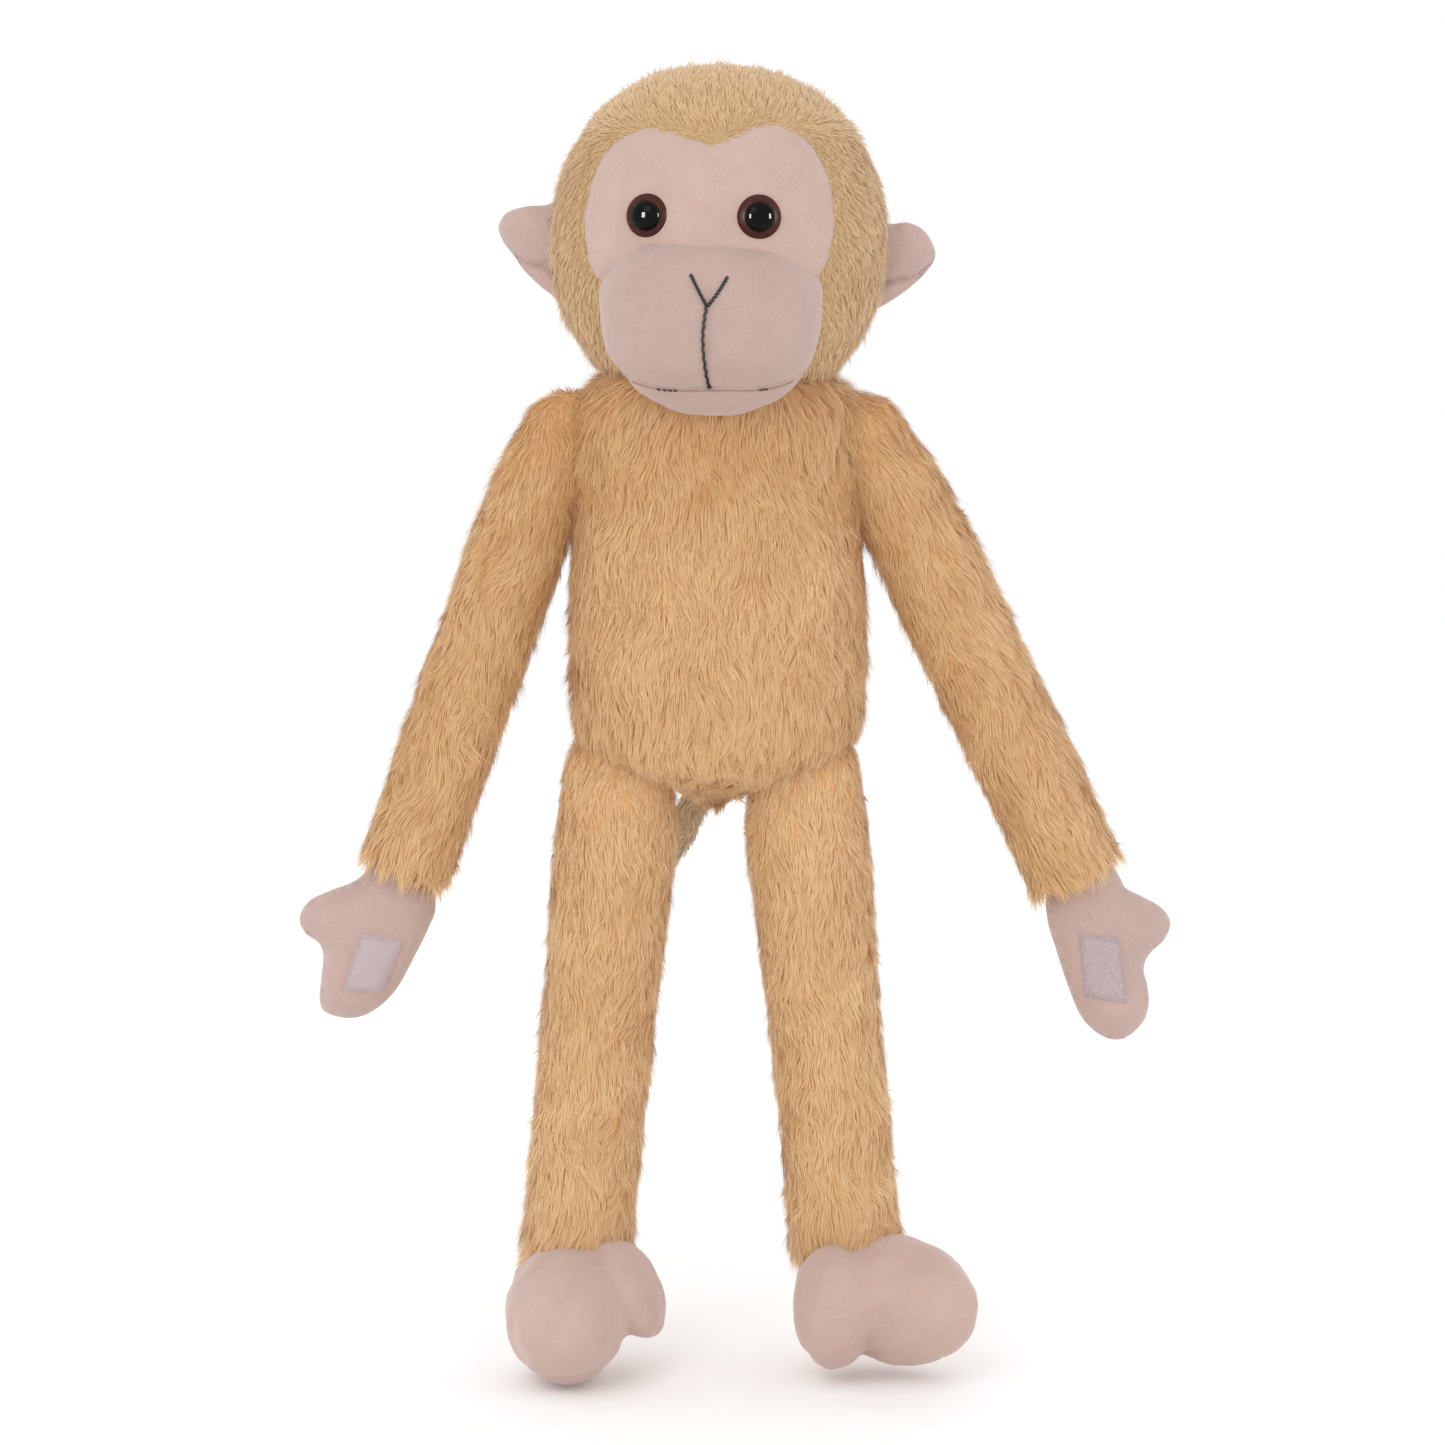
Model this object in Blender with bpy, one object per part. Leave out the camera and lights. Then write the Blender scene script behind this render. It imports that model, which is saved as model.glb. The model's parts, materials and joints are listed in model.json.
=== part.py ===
"""Hanging plush monkey, built as the separate covers, fillings, eyes, threads and patches it is sewn from.

The monkey stands upright and faces -Y, with its own left side towards +X and its soles on z = 0.
Lengths are in millimetres here and are turned into metres where meshes are made.
"""

import math

import bmesh
import bpy
from mathutils import Matrix, Vector

MM = 0.001

# cloth
FUR = 4.0  # long-pile cloth with its pile
VELBOA = 1.6  # short-pile cloth of the face, hands and feet
FIT = 0.4  # room between neighbouring pieces
SIDES, TORSO_SIDES = 16, 20  # facets round a limb and round the torso
SEAM_THREAD = 0.6  # radius of the sewing thread, doubled
THREAD_SIDES = 14
MERGE = 0.01  # points nearer than this are one point

# torso, as half widths up its height; its depth is a share of its width
TORSO_DEPTH = 0.76
TORSO_PROFILE = [
    (0, 241), (15, 246), (25, 255), (37, 259.5), (51, 264), (58, 275), (62, 305), (61, 340),
    (53, 363), (45, 378), (39, 394), (27, 405), (12, 409), (0, 409.5),
]

# head
HEAD_AT = Vector((0, -8, 0))
HEAD_DEPTH = 0.84
HEAD_PROFILE = [
    (0, 411.5), (14, 414), (36, 417), (51, 423), (62, 437), (69, 452), (71, 472),
    (69, 492), (62, 512), (49, 529), (30, 540), (0, 545),
]
HEAD_TURN = math.radians(-4)
MUZZLE_AT = Vector((1, -50, 435))
MUZZLE_SIZE = Vector((45.5, 34, 36))
MOUTH_Z = 410
LIP_GAP = 0.8
FACE_LOBE = 33  # radius of each brow lobe of the face panel
FACE_LOBE_AT = Vector((22, 483))
FACE_BAND_HALF = 42
FACE_LOW_Z = 443
EYE_AT = Vector((23, 481))
EYE_R = 9
EYE_RISE = 5.5
EYE_SUNK = 2.6  # how far the flat back of an eye stands in front of its seat
SHANK_R, SHANK_LENGTH = 2.6, 12
WASHER_R, WASHER_T = 8, 1.6
WASHER_BEHIND = 7  # from the seat back to the washer
EAR_SIZE = Vector((15, 5, 17.5))
EAR_AT = {"right": Vector((-79, 0, 467)), "left": Vector((79, 0, 461))}
EAR_TILT = 10
NECK_AT = Vector((0, 0, 410.5))
NECK_RING_R = 17

# limbs: where each hangs from, how far it leans outward, its length and its radius
SHOULDER = {"right": Vector((-63.5, 0, 393)), "left": Vector((65, 0, 393))}
ARM_LEAN = {"right": 19.9, "left": 24.3}
ARM_LENGTH = {"right": 196, "left": 204}
ARM_R = {"right": 19.5, "left": 21}
HIP = {"right": Vector((-41, 0, 229)), "left": Vector((38, 0, 229))}
LEG_LEAN = 5.3
LEG_LENGTH = 178
LEG_R = 24.5
SHOULDER_RING_R = 10
HIP_RING_R = 12
WRIST_R, ANKLE_R = 12.5, 17
WRIST_CUFF, ANKLE_CUFF = 7, 9  # how far above the wrist or ankle the sleeve ends

# hands, in the frame of the wrist: the fingers hang along -Z and the palm faces -Y
HAND_LEAN = {"right": 22.3, "left": 12.4}
PALM_SIZE = Vector((19.5, 12.5, 31))
PALM_AT = Vector((0, 0, -33))
THUMB_SIZE = Vector((16, 8.5, 9))
THUMB_AT = Vector((20, -1, -20))
THUMB_TILT = 28
PATCH_AT = Vector((-1, -13.6, -28))
PATCH_WIDTH, PATCH_LENGTH, PATCH_T = 17, 24, 1.4
PATCH_TAPER = 0.9  # width of the finger end, as a share of the wrist end

# feet, about the ankle: the main lobe, and the big toe on the inner side
FOOT_LOBES = {
    "right": {"main": ((-3, -26, -24), (26, 40, 29.5), 4), "toe": ((23, -20, -21), (18, 25, 17), -28)},
    "left": {"main": ((26, -19, -26), (25, 37, 27.5), 50), "toe": ((-5, -26, -26), (16, 24, 27), 6)},
}
FOOT_SOLE_Z = {"right": 13, "left": 24}  # height of the seam between the foot's upper and its sole

# tail
TAIL_AT = Vector((0, 39, 249))
TAIL_ROUTE = [(0, 0, 0), (-9, 12, -17), (-17, 28, -35), (-28, 48, -50), (-41, 69, -56), (-52, 88, -52)]
TAIL_R, TAIL_TIP_R = 8, 6
TAIL_WALL = 3

COLOURS = {
    "fur": ((0.60, 0.36, 0.15, 1), 0.9),
    "head_fur": ((0.52, 0.36, 0.22, 1), 0.9),
    "tail_fur": ((0.57, 0.41, 0.27, 1), 0.9),
    "velboa": ((0.63, 0.44, 0.38, 1), 0.85),
    "filling": ((0.85, 0.85, 0.83, 1), 1.0),
    "eye": ((0.03, 0.015, 0.012, 1), 0.08),
    "washer": ((0.75, 0.75, 0.72, 1), 0.4),
    "black_thread": ((0.01, 0.01, 0.01, 1), 0.7),
    "tan_thread": ((0.45, 0.28, 0.13, 1), 0.7),
    "patch": ((0.55, 0.46, 0.46, 1), 0.95),
}


# ---------------------------------------------------------------- scene helpers


def clear_scene():
    for obj in list(bpy.data.objects):
        bpy.data.objects.remove(obj, do_unlink=True)


def new_collection(name):
    collection = bpy.data.collections.new(name)
    bpy.context.scene.collection.children.link(collection)
    return collection


def material(kind, name):
    colour, roughness = COLOURS[kind]
    made = bpy.data.materials.new(f"{name}_{kind}")
    made.use_nodes = True
    shader = made.node_tree.nodes["Principled BSDF"]
    shader.inputs["Base Color"].default_value = colour
    shader.inputs["Roughness"].default_value = roughness
    shader.inputs["Metallic"].default_value = 0.0
    return made


def smooth(mesh):
    mesh.shade_smooth()
    mesh.set_sharp_from_angle(angle=math.radians(50))


def add_object(name, mesh, collection, kind=None, parent=None):
    obj = bpy.data.objects.new(name, mesh)
    collection.objects.link(obj)
    if kind:
        mesh.materials.append(material(kind, name))
        smooth(mesh)
    if parent:
        obj.parent = parent
    return obj


def empty(name, at, turn=None, parent=None):
    """A joint's centre, with its axes turned as the limb hangs."""
    made = bpy.data.objects.new(name, None)
    PARTS.objects.link(made)
    made.empty_display_size = 10 * MM
    made.matrix_local = Matrix.Translation(at * MM) @ (turn or Matrix()).to_4x4()
    made.parent = parent
    return made


# ---------------------------------------------------------------- mesh makers


def mesh_from(bm, name):
    bmesh.ops.recalc_face_normals(bm, faces=bm.faces)
    mesh = bpy.data.meshes.new(name)
    bm.to_mesh(mesh)
    bm.free()
    return mesh


def spin_about_z(bm, geom, steps):
    whole = 2 * math.pi
    bmesh.ops.spin(bm, geom=geom, axis=(0, 0, 1), cent=(0, 0, 0), steps=steps, angle=whole, use_merge=True)
    bmesh.ops.remove_doubles(bm, verts=bm.verts, dist=MERGE * MM)


def turned(name, profile, squash=1.0, at=Vector(), sides=SIDES):
    """A closed solid turned about Z; the profile runs between two points on the axis."""
    bm = bmesh.new()
    points = [bm.verts.new((r * MM, 0, z * MM)) for r, z in profile]
    edges = [bm.edges.new(pair) for pair in zip(points, points[1:])]
    spin_about_z(bm, points + edges, sides)
    bmesh.ops.scale(bm, vec=(1, squash, 1), verts=bm.verts)
    bmesh.ops.translate(bm, vec=at * MM, verts=bm.verts)
    return mesh_from(bm, name)


def ellipsoid(name, at, size, tilt=Matrix(), around=12, rings=8):
    bm = bmesh.new()
    bmesh.ops.create_uvsphere(bm, u_segments=around, v_segments=rings, radius=1)
    bmesh.ops.scale(bm, vec=Vector(size) * MM, verts=bm.verts)
    bmesh.ops.transform(bm, matrix=tilt.to_4x4(), verts=bm.verts)
    bmesh.ops.translate(bm, vec=Vector(at) * MM, verts=bm.verts)
    return mesh_from(bm, name)


def block(name, low, high):
    low, high = Vector(low), Vector(high)
    bm = bmesh.new()
    bmesh.ops.create_cube(bm, size=1)
    bmesh.ops.scale(bm, vec=(high - low) * MM, verts=bm.verts)
    bmesh.ops.translate(bm, vec=(low + high) / 2 * MM, verts=bm.verts)
    return mesh_from(bm, name)


def rod(name, start, end, radius, sides=14):
    """A cylinder from start to end."""
    start, end = Vector(start), Vector(end)
    bm = bmesh.new()
    length = (end - start).length
    bmesh.ops.create_cone(
        bm, cap_ends=True, segments=sides, radius1=radius * MM, radius2=radius * MM, depth=length * MM
    )
    turn = Vector((0, 0, 1)).rotation_difference(end - start).to_matrix().to_4x4()
    bmesh.ops.transform(bm, matrix=Matrix.Translation((start + end) / 2 * MM) @ turn, verts=bm.verts)
    return mesh_from(bm, name)


def ring_of_thread(name, radius, at, axis, thread=SEAM_THREAD):
    """A loop of sewing thread about an axis, as a turned section that keeps off the axis."""
    bm = bmesh.new()
    count = 5
    section = [
        bm.verts.new(((radius + thread * math.cos(a)) * MM, 0, thread * math.sin(a) * MM))
        for a in (2 * math.pi * k / count for k in range(count))
    ]
    edges = [bm.edges.new((section[k], section[(k + 1) % count])) for k in range(count)]
    spin_about_z(bm, section + edges, THREAD_SIDES)
    turn = Vector((0, 0, 1)).rotation_difference(Vector(axis)).to_matrix().to_4x4()
    bmesh.ops.transform(bm, matrix=Matrix.Translation(at * MM) @ turn, verts=bm.verts)
    return mesh_from(bm, name)


def inset(profile, by):
    """The profile moved inward by a wall's thickness, its ends kept on the axis."""
    last = len(profile) - 1
    made = []
    for k, (r, z) in enumerate(profile):
        before, after = profile[max(k - 1, 0)], profile[min(k + 1, last)]
        along = Vector((after[0] - before[0], after[1] - before[1])).normalized()
        if k in (0, last):
            along = Vector((1 if k == 0 else -1, 0))
        made.append((0 if k in (0, last) else max(r - along.y * by, 0.5), z + along.x * by))
    return made


# ---------------------------------------------------------------- joining and cutting


def cut(target, operation, *cutters):
    """Joins, cuts or crosses a mesh object with closed meshes, given in its own axes."""
    for mesh in cutters:
        tool = add_object("cutter", mesh, CUTTERS)
        tool.hide_render = True
        tool.display_type = "WIRE"
        tool.matrix_world = target.matrix_world
        step = target.modifiers.new("cut", "BOOLEAN")
        step.operation = operation
        step.solver = "EXACT"
        step.object = tool
        bpy.context.view_layer.update()
        made = bpy.data.meshes.new_from_object(target.evaluated_get(bpy.context.evaluated_depsgraph_get()))
        target.modifiers.clear()
        target.data = made
        bpy.data.objects.remove(tool, do_unlink=True)
    return target


def taken(obj):
    """The object's mesh, with the object itself removed."""
    mesh = obj.data.copy()
    bpy.data.objects.remove(obj, do_unlink=True)
    return mesh


def shaped(name, meshes, collection, kind=None, parent=None):
    """One object made of several closed meshes joined together."""
    obj = add_object(name, meshes[0], collection, kind)
    cut(obj, "UNION", *meshes[1:])
    obj.parent = parent
    return obj


# ---------------------------------------------------------------- torso


def torso():
    inner = inset(TORSO_PROFILE, FUR)
    outer = turned("torso_cover", TORSO_PROFILE, TORSO_DEPTH, sides=TORSO_SIDES)
    cover = add_object("torso_cover", outer, PARTS, "fur")
    cut(cover, "DIFFERENCE", turned("inside", inner, TORSO_DEPTH, sides=TORSO_SIDES))
    cut(cover, "DIFFERENCE", rod("neck_hole", (0, 0, 395), (0, 0, 420), NECK_RING_R - 4))
    filling = turned("torso_stuffing", inset(inner, FIT), TORSO_DEPTH, sides=TORSO_SIDES)
    add_object("torso_stuffing", filling, PARTS, "filling")


# ---------------------------------------------------------------- head


def face_outline(grow):
    """Cutters of the face panel's outline, two brow lobes over a band that runs down behind the muzzle."""
    x, z = FACE_LOBE_AT
    radius = FACE_LOBE + grow
    lobes = [rod("lobe", (side * x, -120, z), (side * x, -20, z), radius, sides=20) for side in (-1, 1)]
    half = FACE_BAND_HALF + grow
    band = block("band", (-half, -120, FACE_LOW_Z - grow), (half, -20, z))
    return lobes + [band]


def muzzle_form(by):
    return ellipsoid("muzzle", MUZZLE_AT, MUZZLE_SIZE - Vector((by, by, by)), around=18, rings=12)


def head_form(name, by):
    profile = inset(HEAD_PROFILE, by) if by else HEAD_PROFILE
    return turned(name, profile, HEAD_DEPTH, HEAD_AT, sides=22)


def head_covers(pose):
    outline = taken(shaped("outline", face_outline(FIT), CUTTERS))
    neck_hole = rod("neck_hole", (0, 0, 400), (0, 0, 424), NECK_RING_R - 4)
    cover = add_object("head_cover", head_form("head_cover", 0), PARTS, "head_fur")
    cut(cover, "DIFFERENCE", head_form("inside", FUR), outline, muzzle_form(-FIT), neck_hole)
    cover.parent = pose

    face = add_object("face_panel", head_form("face_panel", FUR - VELBOA), PARTS, "velboa")
    cut(face, "DIFFERENCE", head_form("inside", FUR))
    cut(face, "INTERSECT", taken(shaped("outline", face_outline(0), CUTTERS)))
    cut(face, "DIFFERENCE", muzzle_form(-FIT))
    for side in (-1, 1):
        x = side * EYE_AT.x
        cut(face, "DIFFERENCE", rod("eye_hole", (x, -120, EYE_AT.y), (x, -30, EYE_AT.y), SHANK_R + FIT))
    face.parent = pose


def muzzle_covers(pose):
    below = block("below", (-80, -120, 380), (80, 20, MOUTH_Z))
    above = block("above", (-80, -120, MOUTH_Z - LIP_GAP), (80, 20, 500))
    for name, away in (("muzzle_panel", below), ("chin_panel", above)):
        panel = add_object(name, muzzle_form(0), PARTS, "velboa")
        cut(panel, "DIFFERENCE", muzzle_form(VELBOA), head_form("inside", FUR), away)
        if name == "chin_panel":
            cut(panel, "DIFFERENCE", block("front_only", (-80, -48, 380), (80, 20, 500)))
        panel.parent = pose


def head_stuffing(pose):
    forms = [head_form("filling", FUR + FIT), muzzle_form(VELBOA + FIT)]
    filling = shaped("head_stuffing", forms, PARTS, "filling")
    back = eye_seat() + SHANK_LENGTH + 2
    for side in (-1, 1):
        x, z = side * EYE_AT.x, EYE_AT.y
        cut(filling, "DIFFERENCE", rod("shank_room", (x, -120, z), (x, back, z), WASHER_R + FIT))
    filling.parent = pose


def eye_seat():
    """The y at which the face panel's surface meets an eye's centre."""
    height = [z for r, z in HEAD_PROFILE]
    k = max(n for n, z in enumerate(height[:-1]) if z <= EYE_AT.y)
    (r0, z0), (r1, z1) = HEAD_PROFILE[k], HEAD_PROFILE[k + 1]
    radius = r0 + (r1 - r0) * (EYE_AT.y - z0) / (z1 - z0) - (FUR - VELBOA)
    return HEAD_AT.y - HEAD_DEPTH * math.sqrt(radius**2 - EYE_AT.x**2)


def eyes(pose):
    """Each eye is a dome on a shank that passes through the face into a washer pressed on inside."""
    for name, side in (("right", -1), ("left", 1)):
        eye(name, side * EYE_AT.x, pose)
        eye_washer(name, side * EYE_AT.x, pose)


def eye(name, x, pose):
    flat, z = eye_seat() - EYE_SUNK, EYE_AT.y
    dome = ellipsoid("dome", (x, flat, z), (EYE_R, EYE_RISE, EYE_R), around=16, rings=8)
    shank = rod("shank", (x, flat, z), (x, eye_seat() + SHANK_LENGTH, z), SHANK_R)
    made = shaped(f"{name}_eye", [dome, shank], PARTS, "eye")
    cut(made, "DIFFERENCE", behind_eye(x, flat))
    made.parent = pose


def behind_eye(x, flat):
    """What lies behind an eye's flat back, round its shank."""
    z = EYE_AT.y
    behind = shaped("behind", [rod("behind", (x, flat, z), (x, flat + 9, z), EYE_R + 3)], CUTTERS)
    cut(behind, "DIFFERENCE", rod("shank", (x, flat - 2, z), (x, flat + 12, z), SHANK_R))
    return taken(behind)


def eye_washer(name, x, pose):
    near, z = eye_seat() + WASHER_BEHIND, EYE_AT.y
    washer = rod("washer", (x, near, z), (x, near + WASHER_T, z), WASHER_R)
    made = add_object(f"{name}_eye_washer", washer, PARTS, "washer")
    cut(made, "DIFFERENCE", rod("bore", (x, near - 5, z), (x, near + 5, z), SHANK_R + FIT))
    made.parent = pose


def ears(pose):
    for name, at in EAR_AT.items():
        side = -1 if name == "right" else 1
        tilt = Matrix.Rotation(math.radians(side * EAR_TILT), 4, "Y")
        ear = add_object(f"{name}_ear", ellipsoid("ear", at, EAR_SIZE, tilt, 16, 8), PARTS, "velboa")
        cut(ear, "DIFFERENCE", head_form("head_room", -FIT))
        ear.parent = pose


def on_muzzle(x, z, lift):
    """The point of the muzzle's front surface at x and z, lifted off it."""
    size = MUZZLE_SIZE + Vector((lift, lift, lift))
    u, w = (x - MUZZLE_AT.x) / size.x, (z - MUZZLE_AT.z) / size.z
    return Vector((x, MUZZLE_AT.y - size.y * math.sqrt(max(1 - u * u - w * w, 0)), z))


def thread_curve(name, points, thread):
    """A thread through its points, as a closed tube."""
    curve = bpy.data.curves.new(name, "CURVE")
    curve.dimensions = "3D"
    curve.bevel_depth = thread * MM
    curve.bevel_resolution = 1
    curve.use_fill_caps = True
    spline = curve.splines.new("POLY")
    spline.points.add(len(points) - 1)
    for point, at in zip(spline.points, points):
        point.co = (*(at * MM), 1)
    source = bpy.data.objects.new(name, curve)
    CUTTERS.objects.link(source)
    bpy.context.view_layer.update()
    mesh = bpy.data.meshes.new_from_object(source.evaluated_get(bpy.context.evaluated_depsgraph_get()))
    bpy.data.objects.remove(source, do_unlink=True)
    bm = bmesh.new()
    bm.from_mesh(mesh)
    bmesh.ops.remove_doubles(bm, verts=bm.verts, dist=0.01 * MM)
    return mesh_from(bm, name)


def stitching(pose):
    lift, thread, steps = 1.3, 0.7, 6
    fork = Vector((1, 447))
    vee = [on_muzzle(fork.x + 7 * k / 2, fork.y + 12 * abs(k) / 2, lift) for k in range(-2, 3)]
    reach = fork.y - MOUTH_Z - 2
    stem = [on_muzzle(fork.x, fork.y + 0.2 - k * reach / steps, lift + 0.1) for k in range(steps + 1)]
    tubes = [thread_curve("nose", points, thread) for points in (vee, stem)]
    nose = shaped("nose_stitching", tubes, PARTS, "black_thread")
    nose.parent = pose
    half = 24
    seam = [on_muzzle(1 + half * (k / 5 - 1), MOUTH_Z - LIP_GAP / 2, lift) for k in range(11)]
    mouth = add_object("mouth_stitching", thread_curve("mouth", seam, 0.5), PARTS, "black_thread")
    mouth.parent = pose


def head():
    pose = empty("head_nod_axis", NECK_AT)
    to_neck, from_neck = Matrix.Translation(NECK_AT * MM), Matrix.Translation(-NECK_AT * MM)
    pose.matrix_local = to_neck @ Matrix.Rotation(HEAD_TURN, 4, "Z") @ from_neck
    head_covers(pose)
    muzzle_covers(pose)
    head_stuffing(pose)
    eyes(pose)
    ears(pose)
    stitching(pose)
    ring = ring_of_thread("neck_seam", NECK_RING_R, NECK_AT + Vector((0, 0, 0.6)), (0, 0, 1))
    add_object("neck_seam", ring, PARTS, "tan_thread")


# ---------------------------------------------------------------- limbs


def ball_top(radius, low, steps=4):
    """A profile from a ball's top, centred on the joint, down its side to a flat end."""
    angles = [math.pi / 2 * k / steps for k in range(steps + 1)]
    arc = [(radius * math.sin(a), radius * math.cos(a)) for a in angles]
    return list(reversed(arc + [(radius, low), (0, low)]))


def sleeve(name, axis, radius, low, wall, neck=None):
    """A sleeve with a ball top and an open end, and its filling, which stops short of the end by neck."""
    cover = add_object(f"{name}_cover", turned(name, ball_top(radius, low)), PARTS, "fur")
    inner = radius - wall
    cut(cover, "DIFFERENCE", turned("inside", ball_top(inner, low - 5)))
    filling_low = low + (neck if neck else 0.5)
    filling = turned("filling", ball_top(inner - FIT, filling_low))
    cover.parent = axis
    add_object(f"{name}_stuffing", filling, PARTS, "filling", axis)


def limb_axes(name, at, lean, lengths):
    """The joint centres down a limb, each hanging from the one above."""
    turn = Matrix.Rotation(math.radians(lean), 4, "Y")
    first = empty(f"{name}_axis_0", at, turn)
    made = [first]
    for k, length in enumerate(lengths):
        made.append(empty(f"{name}_axis_{k + 1}", Vector((0, 0, -length)), parent=made[-1]))
    return made


def arm(side):
    sign = -1 if side == "right" else 1
    radius, half = ARM_R[side], ARM_LENGTH[side] / 2
    top, elbow, wrist = limb_axes(f"{side}_arm", SHOULDER[side], -sign * ARM_LEAN[side], (half, half))
    sleeve(f"{side}_upper_arm", top, radius, -(half - radius - 0.6), FUR)
    sleeve(f"{side}_forearm", elbow, radius, -(half - WRIST_CUFF), FUR, neck=WRIST_R - WRIST_CUFF + 1)
    ring_at = SHOULDER[side] - Vector((sign * (radius - 0.2), 0, 0))
    ring = ring_of_thread(f"{side}_shoulder_seam", SHOULDER_RING_R, ring_at, (1, 0, 0))
    add_object(f"{side}_shoulder_seam", ring, PARTS, "tan_thread")
    hand(side, sign, wrist, ARM_LEAN[side])


def hand_form(sign, by):
    """The hand's meshes, palm, thumb and wrist, drawn in by a wall's thickness."""
    wall = Vector((by, by, by))
    thumb_at = Vector((sign * THUMB_AT.x, THUMB_AT.y, THUMB_AT.z))
    tilt = Matrix.Rotation(math.radians(sign * THUMB_TILT), 4, "Y")
    return [
        ellipsoid("palm", PALM_AT, PALM_SIZE - wall),
        ellipsoid("wrist", (0, 0, 0), (WRIST_R - by,) * 3, around=10, rings=6),
        ellipsoid("thumb", thumb_at, THUMB_SIZE - wall, tilt, 10, 7),
    ]


def hand(side, sign, wrist, arm_lean):
    turn = Matrix.Rotation(math.radians(-sign * (HAND_LEAN[side] - arm_lean)), 4, "Y")
    pose = empty(f"{side}_hand_axis", Vector(), turn, wrist)
    cover = shaped(f"{side}_hand_cover", hand_form(sign, 0), PARTS, "velboa")
    opening = rod("opening", (0, 0, 0), (0, 0, 20), WRIST_R - 5)
    cut(cover, "DIFFERENCE", taken(shaped("within", hand_form(sign, VELBOA), CUTTERS)), opening)
    cover.parent = pose
    shaped(f"{side}_hand_stuffing", hand_form(sign, VELBOA + FIT), PARTS, "filling", pose)
    add_object(f"{side}_palm_patch", patch_mesh(), PARTS, "patch", pose)


def patch_mesh():
    """The hook-and-loop patch on the palm, a little narrower towards the fingers."""
    corner = Vector((PATCH_WIDTH / 2, PATCH_T / 2, PATCH_LENGTH / 2))
    mesh = block("patch", PATCH_AT - corner, PATCH_AT + corner)
    for vertex in mesh.vertices:
        if vertex.co.z < PATCH_AT.z * MM:
            vertex.co.x *= PATCH_TAPER
    return mesh


def leg(side):
    sign = -1 if side == "right" else 1
    half = LEG_LENGTH / 2
    top, knee, ankle = limb_axes(f"{side}_leg", HIP[side], -sign * LEG_LEAN, (half, half))
    sleeve(f"{side}_thigh", top, LEG_R, -(half - LEG_R - 0.6), FUR)
    sleeve(f"{side}_shin", knee, LEG_R, -(half - ANKLE_CUFF), FUR, neck=ANKLE_R - ANKLE_CUFF + 1)
    ring_at = HIP[side] + Vector((0, 0, math.sqrt((LEG_R + 1.1) ** 2 - HIP_RING_R**2)))
    ring = ring_of_thread(f"{side}_hip_seam", HIP_RING_R, ring_at, (0, 0, 1))
    add_object(f"{side}_hip_seam", ring, PARTS, "tan_thread")
    foot(side)


def ankle_point(side):
    sign = -1 if side == "right" else 1
    lean = math.radians(LEG_LEAN)
    return HIP[side] + Vector((sign * math.sin(lean), 0, -math.cos(lean))) * LEG_LENGTH


def foot_form(side, by):
    wall = Vector((by, by, by))
    made = [ellipsoid("ankle", (0, 0, 0), (ANKLE_R - by,) * 3)]
    for name, (at, size, turn) in FOOT_LOBES[side].items():
        about_z = Matrix.Rotation(math.radians(turn), 4, "Z")
        made.append(ellipsoid(name, at, Vector(size) - wall, about_z, 14, 9))
    return made


def slab(low, high):
    """A block as wide as a foot and more, between two heights."""
    return block("slab", (-90, -90, low), (90, 90, high))


def foot(side):
    at = ankle_point(side)
    ground = -at.z
    seam = ground + FOOT_SOLE_Z[side]
    pose = empty(f"{side}_foot_axis", at)
    inside = taken(shaped("within", foot_form(side, VELBOA), CUTTERS))

    upper = shaped(f"{side}_foot_cover", foot_form(side, 0), PARTS, "velboa")
    opening = rod("opening", (0, 0, 0), (0, 0, 30), ANKLE_R - 5)
    cut(upper, "DIFFERENCE", inside.copy(), opening, slab(ground - 40, seam + FIT))

    sole = shaped(f"{side}_sole", foot_form(side, 0), PARTS, "velboa")
    room = taken(cut(add_object("room", inside, CUTTERS), "DIFFERENCE", slab(ground - 60, ground + VELBOA)))
    cut(sole, "DIFFERENCE", slab(ground - 40, ground), room, slab(seam, 90))

    filling = shaped(f"{side}_foot_stuffing", foot_form(side, VELBOA + FIT), PARTS, "filling")
    cut(filling, "DIFFERENCE", slab(ground - 40, ground + VELBOA + FIT))
    for obj in (upper, sole, filling):
        obj.parent = pose


# ---------------------------------------------------------------- tail


def tail_tube(name, by):
    """The tail's tube with round ends, drawn in by a wall's thickness."""
    curve = bpy.data.curves.new(name, "CURVE")
    curve.dimensions = "3D"
    curve.bevel_depth = MM
    curve.bevel_resolution = 1
    curve.use_fill_caps = True
    curve.resolution_u = 2
    spline = curve.splines.new("NURBS")
    route = [Vector(p) for p in TAIL_ROUTE]
    spline.points.add(len(route) - 1)
    spline.order_u = 4
    spline.use_endpoint_u = True
    for k, (point, at) in enumerate(zip(spline.points, route)):
        point.co = (*(at * MM), 1)
        point.radius = TAIL_R + (TAIL_TIP_R - TAIL_R) * k / (len(route) - 1) - by
    source = bpy.data.objects.new(name, curve)
    CUTTERS.objects.link(source)
    bpy.context.view_layer.update()
    mesh = bpy.data.meshes.new_from_object(source.evaluated_get(bpy.context.evaluated_depsgraph_get()))
    bpy.data.objects.remove(source, do_unlink=True)
    bm = bmesh.new()
    bm.from_mesh(mesh)
    bmesh.ops.remove_doubles(bm, verts=bm.verts, dist=0.01 * MM)
    tube = mesh_from(bm, name)
    tip = ellipsoid("tip", TAIL_ROUTE[-1], (TAIL_TIP_R - by,) * 3, around=12, rings=8)
    base = ellipsoid("base", TAIL_ROUTE[0], (TAIL_R - by,) * 3, around=12, rings=8)
    return [tube, tip, base]


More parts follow.
